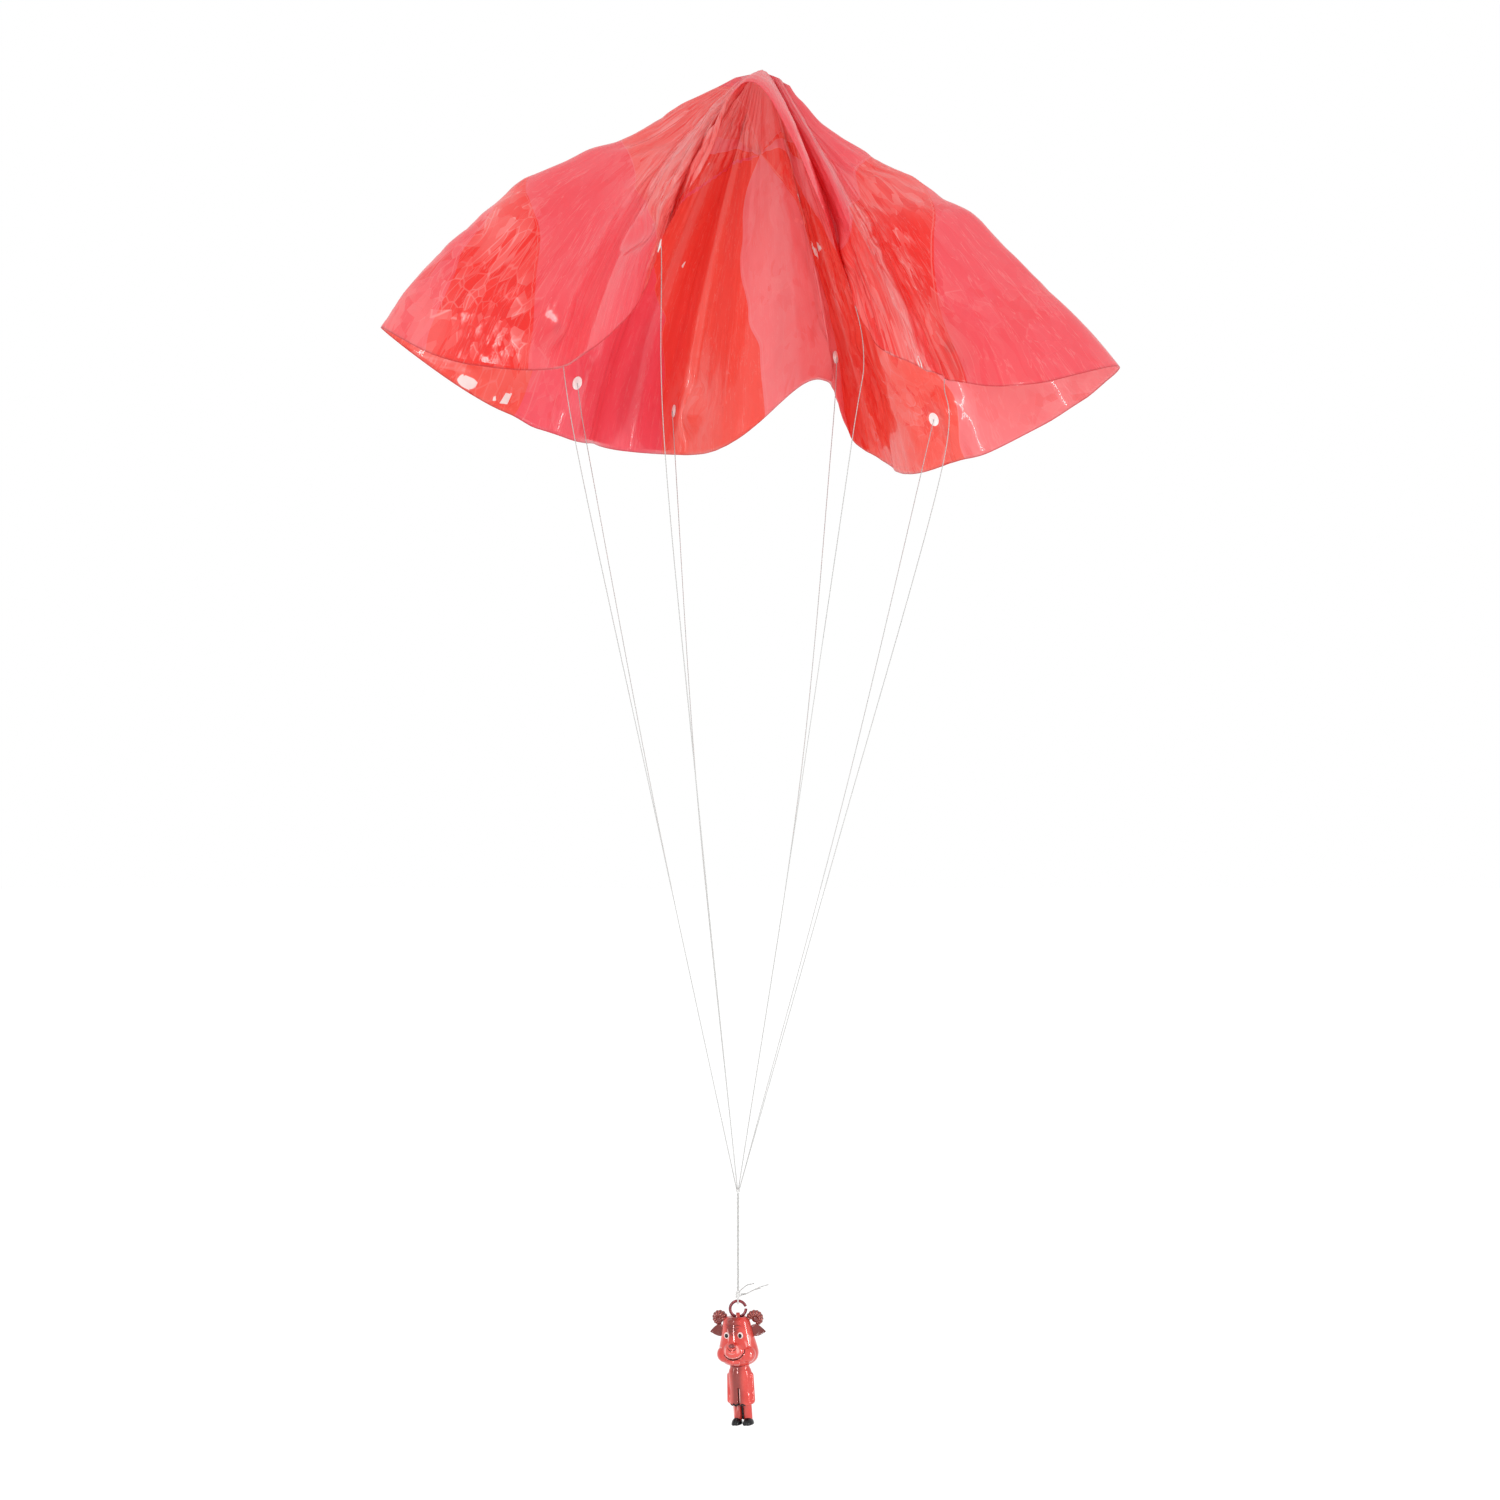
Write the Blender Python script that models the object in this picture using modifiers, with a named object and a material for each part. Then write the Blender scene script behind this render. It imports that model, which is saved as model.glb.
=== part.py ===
"""Toy parachute: a printed film canopy held up by its crown, eight strings and a hanging figure.

Metres, +Z up. The origin is the top of the crown, where the canopy is held, and the toy hangs
below it. -Y is the front, +X is the viewer's right.
"""

import math

import bmesh
import bpy
from mathutils import Matrix, Vector

MM = 0.001

# Canopy film
FILM_RADIUS = 190 * MM
FILM_WALL = 0.1 * MM
CROWN_RIDGE_HALF_LENGTH = 7 * MM
CROWN_RIDGE_HALF_WIDTH = 1.5 * MM
FILM_COLUMNS = 48
FILM_RING_SHARES = (0.05, 0.12, 0.21, 0.31, 0.41, 0.51, 0.61, 0.70, 0.79, 0.87, 0.94, 1.0)
# The film swells out and stays up between crown and rim, more at the left than at the right.
BULGE_OUT_SHARE = 0.335
BULGE_UP_SHARE = 0.315
BULGE_LEFT_SHARE = 0.135
# How far up and down the sheet its slope is read where a dot sits
SLOPE_STEP_SHARE = 0.01

# The hung rim: degrees around the sheet from the right-hand side, counter-clockwise from above,
# then its place to the right, to the back and down from the crown, in shares of the film's radius.
RIM_SHARES = (
    (0.0, 0.75, 0.00, 0.62), (11.0, 0.60, 0.16, 0.71), (22.5, 0.35, 0.19, 0.82),
    (34.0, 0.32, 0.45, 0.80), (45.0, 0.27, 0.57, 0.75), (56.0, 0.21, 0.50, 0.72),
    (67.5, 0.16, 0.39, 0.62), (79.0, 0.10, 0.52, 0.58), (90.0, -0.02, 0.59, 0.68),
    (101.0, -0.11, 0.55, 0.74), (112.5, -0.19, 0.41, 0.76), (124.0, -0.26, 0.57, 0.74),
    (135.0, -0.35, 0.59, 0.73), (146.0, -0.39, 0.42, 0.73), (157.5, -0.40, 0.21, 0.73),
    (169.0, -0.59, 0.20, 0.68), (180.0, -0.80, 0.00, 0.54), (191.0, -0.63, -0.18, 0.64),
    (202.5, -0.43, -0.23, 0.66), (214.0, -0.37, -0.45, 0.67), (225.0, -0.30, -0.55, 0.64),
    (237.0, -0.24, -0.52, 0.57), (247.5, -0.21, -0.38, 0.45), (258.0, -0.14, -0.35, 0.31),
    (270.0, -0.03, -0.16, 0.06), (281.0, 0.09, -0.34, 0.29), (292.5, 0.20, -0.37, 0.61),
    (303.0, 0.23, -0.53, 0.66), (315.0, 0.28, -0.60, 0.70), (326.0, 0.34, -0.45, 0.70),
    (337.5, 0.37, -0.22, 0.68), (349.0, 0.52, -0.21, 0.69),
)

# Strings and the white dots that hold their ends
STRING_COUNT = 8
FIRST_STRING_DEG = 22.5
# Where each string's dot sits: degrees around the sheet, then the share from crown to rim.
STRING_SEAT_SHARES = (
    (19.5, 0.905), (60.5, 0.83), (117.0, 0.905), (160.0, 0.905),
    (201.5, 0.905), (243.5, 0.905), (291.0, 0.83), (341.5, 0.905),
)
STRING_DIAMETER = 0.4 * MM
STRING_END_SPACE = 0.15 * MM
STRING_POINTS = 16
DOT_SIDES = 16
DOT_RADIUS = 1.9 * MM
DOT_LENGTH = 5.6 * MM
DOT_WALL = 0.3 * MM
SEAT_GAP = 0.3 * MM

# Where each string leaves its straight line, by hand: share of the way down, then the offset
# to the right and to the back.
STRING_BOWS = (
    ((0.50, 2.3 * MM, 0.5 * MM),),
    ((0.11, 2.0 * MM, 0.5 * MM), (0.53, 5.5 * MM, 1.0 * MM)),
    ((0.50, -3.0 * MM, 1.0 * MM),),
    ((0.10, -1.1 * MM, 0.0), (0.55, -2.5 * MM, 0.5 * MM)),
    ((0.15, -2.5 * MM, -0.5 * MM), (0.58, -1.3 * MM, -0.5 * MM)),
    ((0.20, -4.8 * MM, -1.0 * MM), (0.59, -3.0 * MM, -1.0 * MM)),
    ((0.09, 11.0 * MM, -6.0 * MM), (0.19, 10.5 * MM, -5.0 * MM), (0.58, 6.0 * MM, -2.0 * MM)),
    ((0.04, 1.5 * MM, 0.0), (0.15, 9.0 * MM, 0.0), (0.60, 4.5 * MM, 0.0)),
)

# Below the strings: gathering knot, twisted riser, ring knot and loose ends
RISER_X = -10 * MM
GATHER_Z = -447 * MM
GATHER_KNOT_RADIUS = 0.85 * MM
RISER_DIAMETER = 1.1 * MM
RISER_LENGTH = 38.9 * MM
RING_KNOT_RADIUS = 1.1 * MM
RING_KNOT_HEIGHT = 2.6 * MM
RING_KNOT_SIDES = 16
RING_KNOT_ROUNDING_SHARE = 0.5
RING_KNOT_RIM_DEG = 60.0
LOOP_STRING_DIAMETER = 0.55 * MM
LOOP_CLEARANCE = 0.3 * MM
KNOT_ON_LOOP = 0.25 * MM
LOOSE_END_DIAMETER = 0.5 * MM
LOOSE_END_POINTS = 10
# Each loose end's points from the knot's middle: right, back, up.
LOOSE_END_ROUTES = (
    ((1.35 * MM, 0.5 * MM, 0.2 * MM), (4.0 * MM, 1.5 * MM, 0.4 * MM), (8.0 * MM, 2.5 * MM, 2.2 * MM),
     (12.2 * MM, 3.2 * MM, 3.4 * MM)),
    ((1.15 * MM, 0.9 * MM, -0.4 * MM), (3.2 * MM, 2.9 * MM, -0.3 * MM), (6.2 * MM, 4.6 * MM, 0.9 * MM),
     (9.0 * MM, 5.4 * MM, 1.5 * MM)),
    ((0.3 * MM, 1.4 * MM, 0.5 * MM), (1.2 * MM, 3.6 * MM, 1.2 * MM), (3.6 * MM, 6.0 * MM, 2.6 * MM),
     (6.4 * MM, 7.4 * MM, 3.0 * MM)),
)

# Open jump ring
RING_RADIUS = 3.15 * MM
RING_WIRE_DIAMETER = 1.2 * MM
RING_GAP_WIDTH = 0.9 * MM
RING_GAP_DEG = 10.0
RING_POINTS = 28

# Figure: heights are measured down from the hole that the ring goes through
HEAD_PROFILE_SHARES = (
    (0.46, 0.010), (0.62, -0.045), (0.70, -0.145), (0.77, -0.30), (0.86, -0.46),
    (0.96, -0.62), (1.00, -0.745), (0.93, -0.86), (0.70, -0.955), (0.40, -1.0),
)
HEAD_HALF_WIDTH = 8.2 * MM
HEAD_HALF_DEPTH = 6.7 * MM
HEAD_HEIGHT = 19.4 * MM
COAT_TOP_Z = -18.6 * MM
COAT_HEM_Z = -34.8 * MM
COAT_HALF_WIDTH = 4.9 * MM
COAT_HALF_DEPTH = 4.1 * MM
COAT_PROFILE_SHARES = (
    (0.80, 0.0), (0.82, -0.10), (0.95, -0.20), (0.98, -0.45), (0.96, -0.70), (1.06, -0.96), (1.0, -1.0),
)
SLIT_WIDTH = 0.45 * MM
SLIT_TOP_Z = -28.0 * MM
SLIT_DEPTH = 0.9 * MM
ARM_RADIUS = 1.3 * MM
ARM_X = 4.6 * MM
ARM_TOP_Z = -23.4 * MM
ARM_END_Z = -33.2 * MM
ARM_TOP_X_SHARE = 0.93
ARM_FORWARD_SHARE = 0.25
LEG_RADIUS = 1.95 * MM
LEG_X = 2.15 * MM
LEG_END_SHARE = 1.05
SOLE_Z = -42.7 * MM
HOOF_HALF_WIDTH = 2.15 * MM
HOOF_HALF_LENGTH = 3.4 * MM
HOOF_HEIGHT = 2.6 * MM
HOOF_FORWARD = 1.1 * MM
HOOF_OUT_SHARE = 0.1
MUZZLE_RADII = (4.5 * MM, 3.7 * MM, 4.3 * MM)
MUZZLE_Y = -5.0 * MM
MUZZLE_Z = -12.2 * MM
NOSE_RADII = (1.45 * MM, 0.8 * MM, 0.95 * MM)
NOSE_ON_MUZZLE_SHARE = 0.86
NOSE_Z = -9.0 * MM
EYE_RADII = (1.15 * MM, 0.7 * MM, 1.35 * MM)
EYE_X = 2.85 * MM
EYE_Y = -4.75 * MM
EYE_Z = -6.1 * MM
EAR_LENGTH = 6.8 * MM
EAR_HALF_HEIGHT = 2.8 * MM
EAR_HALF_DEPTH = 1.0 * MM
EAR_X = 5.0 * MM
EAR_Y = 0.8 * MM
EAR_Z = -5.2 * MM
EAR_DROOP_DEG = 8.0
EAR_TAPER_SHARE = 0.75
HORN_ROOT_RADIUS = 1.25 * MM
HORN_TIP_RADIUS = 0.8 * MM
HORN_CURL_RADIUS = 2.1 * MM
HORN_X = 7.0 * MM
HORN_Y = 0.8 * MM
HORN_Z = -1.0 * MM
HORN_DRIFT = 1.6 * MM
HORN_START_DEG = 190.0
HORN_TURN_DEG = 290.0
HORN_POINTS = 20
HORN_RIB_SHARE = 0.1
FORELOCK_RADII = (2.9 * MM, 1.5 * MM, 1.3 * MM)
FORELOCK_Y = -3.3 * MM
FORELOCK_Z = -1.4 * MM
TAIL_RADII = (1.3 * MM, 1.5 * MM, 2.0 * MM)
TAIL_Z = -31.0 * MM
LUG_THICKNESS = 1.6 * MM
LUG_WALL = 0.8 * MM
LUG_HOLE_RADIUS = 0.92 * MM
LUG_DEPTH = 2.6 * MM
DIMPLE_RADII = (3.4 * MM, 2.8 * MM, 2.1 * MM)
DIMPLE_Z = 0.9 * MM
# It faces a little to the viewer's left, and leans.
FIGURE_TURN_DEG = -18.0
FIGURE_LEAN_DEG = -4.0
LUG_OFFSET = 0.7 * MM
CUT_OVERRUN = 1.0 * MM

# How round the figure's pieces are: faces around, then faces from pole to pole
SMALL_ROUND = (12, 8)
MIDDLE_ROUND = (16, 10)
LARGE_ROUND = (20, 12)
TURNED_SIDES = 24
HOLE_SIDES = 20
# A sphere's middle ring counts as its lower half
EQUATOR_SHARE = 0.01
WELD_DISTANCE = 0.001 * MM
CUT_TOLERANCE = 0.0001 * MM

# Finishes: colour, roughness, metallic
FILM_FINISH = ((0.86, 0.09, 0.05), 0.22, 0.0)
STRING_FINISH = ((0.86, 0.86, 0.84), 0.75, 0.0)
DOT_FINISH = ((0.90, 0.90, 0.88), 0.6, 0.0)
RING_FINISH = ((0.16, 0.02, 0.03), 0.3, 0.4)
FIGURE_FINISH = ((0.72, 0.06, 0.05), 0.2, 0.6)


def clear_scene():
    for item in list(bpy.data.objects):
        bpy.data.objects.remove(item)


def collection(name):
    group = bpy.data.collections.new(name)
    bpy.context.scene.collection.children.link(group)
    return group


def principled(name, finish):
    colour, roughness, metallic = finish
    material = bpy.data.materials.new(name)
    material.use_nodes = True
    shader = material.node_tree.nodes["Principled BSDF"]
    shader.inputs["Base Color"].default_value = (*colour, 1.0)
    shader.inputs["Roughness"].default_value = roughness
    shader.inputs["Metallic"].default_value = metallic
    return material


def mesh_object(name, bm, group, material=None):
    mesh = bpy.data.meshes.new(name)
    bm.to_mesh(mesh)
    bm.free()
    item = bpy.data.objects.new(name, mesh)
    group.objects.link(item)
    if material:
        mesh.materials.append(material)
    return item


def make_cutter(item):
    item.hide_render = True
    item.display_type = "WIRE"
    return item


def smooth_closed(rows, degrees):
    """The rim's place at an angle: a smooth closed curve through the rows (cubic, by angle)."""
    count = len(rows)
    wrapped = degrees % 360.0
    index = max(i for i, row in enumerate(rows) if row[0] <= wrapped)

    def row(step):
        turns, place = divmod(index + step, count)
        return rows[place][0] + 360.0 * turns, rows[place][1:]

    before, start, end, after = row(-1), row(0), row(1), row(2)
    span = end[0] - start[0]
    share = (wrapped - start[0]) / span
    values = []
    for axis in range(3):
        slope_start = (end[1][axis] - before[1][axis]) / (end[0] - before[0]) * span
        slope_end = (after[1][axis] - start[1][axis]) / (after[0] - start[0]) * span
        square, cube = share * share, share ** 3
        values.append((2 * cube - 3 * square + 1) * start[1][axis]
                      + (cube - 2 * square + share) * slope_start
                      + (3 * square - 2 * cube) * end[1][axis]
                      + (cube - square) * slope_end)
    return values


def film_point(share, degrees):
    """A point of the hung film: share 0 at the crown's ridge, 1 at the rim."""
    right, back, down = smooth_closed(RIM_SHARES, degrees)
    angle = math.radians(degrees)
    leftward = -BULGE_LEFT_SHARE * math.cos(angle)
    out = share + (BULGE_OUT_SHARE + leftward) * share ** 2 * (1 - share)
    fall = share - (BULGE_UP_SHARE + leftward) * share * (1 - share)
    ridge = (1 - share) ** 3
    return Vector((
        FILM_RADIUS * right * out + CROWN_RIDGE_HALF_LENGTH * math.cos(angle) * ridge,
        FILM_RADIUS * back * out + CROWN_RIDGE_HALF_WIDTH * math.sin(angle) * ridge,
        -FILM_RADIUS * down * fall,
    ))


def add_film(group, material):
    """One round sheet of film, hung by its crown, with its lobes between the strings."""
    bm = bmesh.new()
    spoke = [bm.verts.new((share * FILM_RADIUS, 0, 0)) for share in FILM_RING_SHARES]
    edges = [bm.edges.new(pair) for pair in zip(spoke, spoke[1:])]
    bmesh.ops.spin(bm, geom=spoke + edges, cent=(0, 0, 0), axis=(0, 0, 1),
                   angle=math.tau, steps=FILM_COLUMNS, use_merge=True)
    hole = [edge for edge in bm.edges if len(edge.link_faces) == 1
            and edge.verts[0].co.length < FILM_RING_SHARES[1] * FILM_RADIUS]
    bmesh.ops.contextual_create(bm, geom=hole)
    for vertex in bm.verts:
        share = vertex.co.length / FILM_RADIUS
        degrees = math.degrees(math.atan2(vertex.co.y, vertex.co.x)) % 360.0
        vertex.co = film_point(share, degrees)
    bmesh.ops.recalc_face_normals(bm, faces=bm.faces)
    highest = max(bm.faces, key=lambda face: face.calc_center_median().z)
    if highest.normal.z < 0:
        bmesh.ops.reverse_faces(bm, faces=bm.faces)
    film = mesh_object("canopy_film", bm, group, material)
    wall = film.modifiers.new("wall", "SOLIDIFY")
    wall.thickness = FILM_WALL
    wall.offset = 1.0
    film.data.shade_smooth()
    return film


def dot_outline(middle, across, along):
    """Points round a dot's edge, where it could touch the film."""
    turns = [math.tau * step / DOT_SIDES for step in range(DOT_SIDES)]
    return [middle + across * DOT_RADIUS * math.cos(turn) + along * DOT_LENGTH / 2 * math.sin(turn)
            for turn in turns]


def dot_seat(film, number):
    """A frame on the film's inner face: the dot's near side, and its three directions."""
    degrees, share = STRING_SEAT_SHARES[number]
    middle = film_point(share, degrees)
    _, middle, inward, _ = film.closest_point_on_mesh(middle)
    if inward.dot(Vector((RISER_X, 0, GATHER_Z)) - middle) < 0:
        inward = -inward
    down = film_point(share + SLOPE_STEP_SHARE, degrees) - film_point(share - SLOPE_STEP_SHARE, degrees)
    along = (down - inward * down.dot(inward)).normalized()
    across = along.cross(inward)
    room = 0.0
    for point in dot_outline(middle, across, along):
        hit, place, _, _ = film.ray_cast(point + inward * DOT_LENGTH, -inward, distance=2 * DOT_LENGTH)
        if hit:
            room = max(room, (place - middle).dot(inward))
    return middle + inward * (SEAT_GAP + room), across, along, inward


def add_dot(seat, number, group, material):
    near_side, across, along, inward = seat
    turn = Matrix((across, along, inward)).transposed().to_4x4()
    bm = bmesh.new()
    bmesh.ops.create_cone(bm, cap_ends=True, segments=DOT_SIDES, radius1=DOT_RADIUS, radius2=DOT_RADIUS,
                          depth=DOT_WALL)
    bmesh.ops.scale(bm, vec=(1, DOT_LENGTH / (2 * DOT_RADIUS), 1), verts=bm.verts)
    dot = mesh_object(f"string_dot_{number + 1}", bm, group, material)
    dot.matrix_world = Matrix.Translation(near_side + inward * DOT_WALL / 2) @ turn


def catmull_rom(points, count):
    """Points evenly shared along a smooth curve through the given ones."""
    ends = [points[0] * 2 - points[1]] + list(points) + [points[-1] * 2 - points[-2]]
    spans = len(points) - 1
    result = []
    for step in range(count):
        place = step / (count - 1) * spans
        index = min(int(place), spans - 1)
        share = place - index
        before, start, end, after = ends[index:index + 4]
        result.append(0.5 * (2 * start + (end - before) * share
                             + (2 * before - 5 * start + 4 * end - after) * share ** 2
                             + (3 * start - before - 3 * end + after) * share ** 3))
    return result


def add_tube(name, points, diameter, group, material=None, radii=None, origin=Vector()):
    """A round solid tube along the points, which are measured from its origin."""
    curve = bpy.data.curves.new(name, "CURVE")
    curve.dimensions = "3D"
    curve.bevel_depth = diameter / 2
    curve.bevel_resolution = 2
    curve.use_fill_caps = True
    spline = curve.splines.new("POLY")
    spline.points.add(len(points) - 1)
    for index, point in enumerate(points):
        spline.points[index].co = (*point, 1)
        if radii:
            spline.points[index].radius = radii[index]
    tube = bpy.data.objects.new(name, curve)
    tube.location = origin
    group.objects.link(tube)
    if material:
        curve.materials.append(material)
    return tube


def string_route(seat, number):
    """From the dot's inner face, past the rim, to the top of the gathering knot."""
    near_side, _, _, inward = seat
    start = near_side + inward * (DOT_WALL + SEAT_GAP + STRING_DIAMETER / 2)
    heading = math.radians(FIRST_STRING_DEG + 360.0 / STRING_COUNT * number)
    out = (STRING_DIAMETER + STRING_END_SPACE) / (2 * math.sin(math.pi / STRING_COUNT))
    rise = math.sqrt((GATHER_KNOT_RADIUS + SEAT_GAP) ** 2 - out ** 2)
    end = Vector((RISER_X + out * math.cos(heading), out * math.sin(heading), GATHER_Z + rise))
    bows = [start.lerp(end, share) + Vector((right, back, 0))
            for share, right, back in STRING_BOWS[number]]
    return [start] + bows + [end]


def add_string(seat, number, group, material):
    points = catmull_rom(string_route(seat, number), STRING_POINTS)
    add_tube(f"string_{number + 1}", points, STRING_DIAMETER, group, material)


def round_piece(radii, centre, roundness):
    """A stretched sphere."""
    bm = bmesh.new()
    around, rows = roundness
    bmesh.ops.create_uvsphere(bm, u_segments=around, v_segments=rows, radius=1.0)
    bmesh.ops.scale(bm, vec=radii, verts=bm.verts)
    bmesh.ops.translate(bm, vec=centre, verts=bm.verts)
    return bm


def gather_point():
    """Where the strings meet, and the hinge that the riser swings at."""
    return Vector((RISER_X, 0, GATHER_Z))


def add_gather_knot(group, material):
    knot = mesh_object("gather_knot", round_piece([GATHER_KNOT_RADIUS] * 3, (0, 0, 0), LARGE_ROUND),
                       group, material)
    knot.location = gather_point()
    knot.data.shade_smooth()


def add_riser(group, material):
    """The strings twisted together below the gathering knot."""
    top = Vector((0, 0, -GATHER_KNOT_RADIUS - SEAT_GAP))
    points = catmull_rom([top, top - Vector((0, 0, RISER_LENGTH))], STRING_POINTS)
    add_tube("riser", points, RISER_DIAMETER, group, material, origin=gather_point())


def ring_knot_middle():
    """The ring knot hangs just below the riser."""
    top = GATHER_Z - GATHER_KNOT_RADIUS - SEAT_GAP - RISER_LENGTH - SEAT_GAP
    return Vector((RISER_X, 0, top - RING_KNOT_HEIGHT / 2))


def loop_radius():
    return (RING_WIRE_DIAMETER + LOOP_STRING_DIAMETER) / 2 + LOOP_CLEARANCE


def loop_middle():
    """The knot sits on the top of its loop, and the loop goes round the ring's wire."""
    loop_top = ring_knot_middle().z - RING_KNOT_HEIGHT / 2 + KNOT_ON_LOOP
    return Vector((RISER_X, 0, loop_top - LOOP_STRING_DIAMETER / 2 - loop_radius()))


def ring_middle():
    return loop_middle() - Vector((0, 0, RING_RADIUS))


def hole_middle():
    """The ring's lowest point, which the figure's lug hangs on."""
    return ring_middle() - Vector((0, 0, RING_RADIUS))


def to_mesh(item, group):
    """A curve object as a mesh object with welded caps."""
    name = item.name
    graph = bpy.context.evaluated_depsgraph_get()
    mesh = bpy.data.meshes.new_from_object(item.evaluated_get(graph))
    bm = bmesh.new()
    bm.from_mesh(mesh)
    bmesh.ops.remove_doubles(bm, verts=bm.verts, dist=WELD_DISTANCE)
    place = item.matrix_world.copy()
    bpy.data.objects.remove(item)
    bpy.data.meshes.remove(mesh)
    made = mesh_object(name, bm, group)
    made.matrix_world = place
    return made


def boolean(target, other, operation):
    step = target.modifiers.new(operation.lower(), "BOOLEAN")
    step.operation = operation
    step.object = other


def add_ring_knot(group, cutters, material):
    """The knot above the ring, with its loop of string round the ring's wire."""
    bm = bmesh.new()
    bmesh.ops.create_cone(bm, cap_ends=True, segments=RING_KNOT_SIDES, radius1=RING_KNOT_RADIUS,
                          radius2=RING_KNOT_RADIUS, depth=RING_KNOT_HEIGHT)
    sharp = math.radians(RING_KNOT_RIM_DEG)
    rims = [edge for edge in bm.edges if edge.is_manifold and edge.calc_face_angle() > sharp]
    bmesh.ops.bevel(bm, geom=rims, offset=RING_KNOT_RADIUS * RING_KNOT_ROUNDING_SHARE, segments=3,
                    affect="EDGES", profile=0.5, material=-1)
    knot = mesh_object("ring_knot", bm, group, material)
    knot.location = ring_knot_middle()
    bpy.ops.mesh.primitive_torus_add(major_radius=loop_radius(), minor_radius=LOOP_STRING_DIAMETER / 2,
                                     major_segments=24, minor_segments=8, rotation=(0, math.pi / 2, 0),
                                     location=loop_middle())
    loop = bpy.context.object
    loop.name = "ring_knot_loop"
    for owner in loop.users_collection:
        owner.objects.unlink(loop)
    cutters.objects.link(make_cutter(loop))
    boolean(knot, loop, "UNION")
    knot.data.shade_smooth()


def add_loose_ends(group, material):
    for number, route in enumerate(LOOSE_END_ROUTES):
        points = catmull_rom([Vector(place) for place in route], LOOSE_END_POINTS)
        add_tube(f"loose_end_{number + 1}", points, LOOSE_END_DIAMETER, group, material,
                 origin=ring_knot_middle())


def add_ring(group, material):
    """An open round ring of wire in the plane of the picture, its gap near the right."""
    half_gap = math.degrees(RING_GAP_WIDTH / 2 / RING_RADIUS)
    first = RING_GAP_DEG + half_gap
    turn = 360.0 - 2 * half_gap
    points = []
    for step in range(RING_POINTS):
        angle = math.radians(first + turn * step / (RING_POINTS - 1))
        points.append(Vector((RING_RADIUS * math.cos(angle), 0, RING_RADIUS * math.sin(angle))))
    add_tube("hanging_ring", points, RING_WIRE_DIAMETER, group, material, origin=ring_middle())


def turned(shares, half_width, half_depth, height, top):
    """A closed turned body from (width share, height share) rows, flattened front to back."""
    bm = bmesh.new()
    profile = [bm.verts.new((width * half_width, 0, top + level * height)) for width, level in shares]
    edges = [bm.edges.new(pair) for pair in zip(profile, profile[1:])]
    bmesh.ops.spin(bm, geom=profile + edges, cent=(0, 0, 0), axis=(0, 0, 1), angle=math.tau,
                   steps=TURNED_SIDES, use_merge=True)
    open_edges = [edge for edge in bm.edges if len(edge.link_faces) == 1]
    bmesh.ops.holes_fill(bm, edges=open_edges)
    bmesh.ops.scale(bm, vec=(1, half_depth / half_width, 1), verts=bm.verts)
    bmesh.ops.recalc_face_normals(bm, faces=bm.faces)
    return bm


def capsule(radius, start, end):
    """A rod with round ends between two points."""
    along = end - start
    turn = along.to_track_quat("Z", "Y").to_matrix().to_4x4()
    bm = round_piece([radius] * 3, (0, 0, 0), SMALL_ROUND)
    for vertex in bm.verts:
        if vertex.co.z > radius * EQUATOR_SHARE:
            vertex.co.z += along.length
    bmesh.ops.transform(bm, matrix=Matrix.Translation(start) @ turn, verts=bm.verts)
    return bm


def ear(side):
    """A pointed, flattened ear that droops a little."""
    bm = round_piece([1] * 3, (0, 0, 0), MIDDLE_ROUND)
    for vertex in bm.verts:
        place = (vertex.co.x + 1) / 2
        narrow = 1 - EAR_TAPER_SHARE * place ** 2
        vertex.co = Vector((side * place * EAR_LENGTH, vertex.co.y * EAR_HALF_DEPTH * narrow,
                            vertex.co.z * EAR_HALF_HEIGHT * narrow))
    droop = Matrix.Rotation(math.radians(side * EAR_DROOP_DEG), 4, "Y")
    bmesh.ops.transform(bm, matrix=Matrix.Translation((side * EAR_X, EAR_Y, EAR_Z)) @ droop, verts=bm.verts)
    bmesh.ops.recalc_face_normals(bm, faces=bm.faces)
    return bm


def horn_points(side):
    """A ram's curl: up from the head's top, outwards and down to the ear, drifting back."""
    points = []
    radii = []
    for step in range(HORN_POINTS):
        share = step / (HORN_POINTS - 1)
        angle = math.radians(HORN_START_DEG - HORN_TURN_DEG * share)
        points.append(Vector((side * (HORN_X + HORN_CURL_RADIUS * math.cos(angle)),
                              HORN_Y + HORN_DRIFT * share,
                              HORN_Z + HORN_CURL_RADIUS * math.sin(angle))))
        taper = HORN_ROOT_RADIUS + (HORN_TIP_RADIUS - HORN_ROOT_RADIUS) * share
        rib = 1 + HORN_RIB_SHARE * (1 if step % 2 else -1)
        radii.append(taper * rib / HORN_ROOT_RADIUS)
    return points, radii


def figure_frame():
    """Turns the figure a little to the viewer's left and leans it, beside the hole."""
    lean = Matrix.Rotation(math.radians(FIGURE_LEAN_DEG), 4, "Y")
    turn = Matrix.Rotation(math.radians(FIGURE_TURN_DEG), 4, "Z")
    aside = Matrix.Translation((-LUG_OFFSET, 0, 0))
    return Matrix.Translation(hole_middle()) @ aside @ lean @ turn


def leaning_cutter(name, bm, cutters):
    """A piece that turns and leans with the figure."""
    item = make_cutter(mesh_object(name, bm, cutters))
    item.matrix_world = figure_frame()
    return item


def upright_cutter(name, bm, cutters):
    """A piece that is set square to the hole that the ring goes through."""
    item = make_cutter(mesh_object(name, bm, cutters))
    item.location = hole_middle()
    return item


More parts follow.
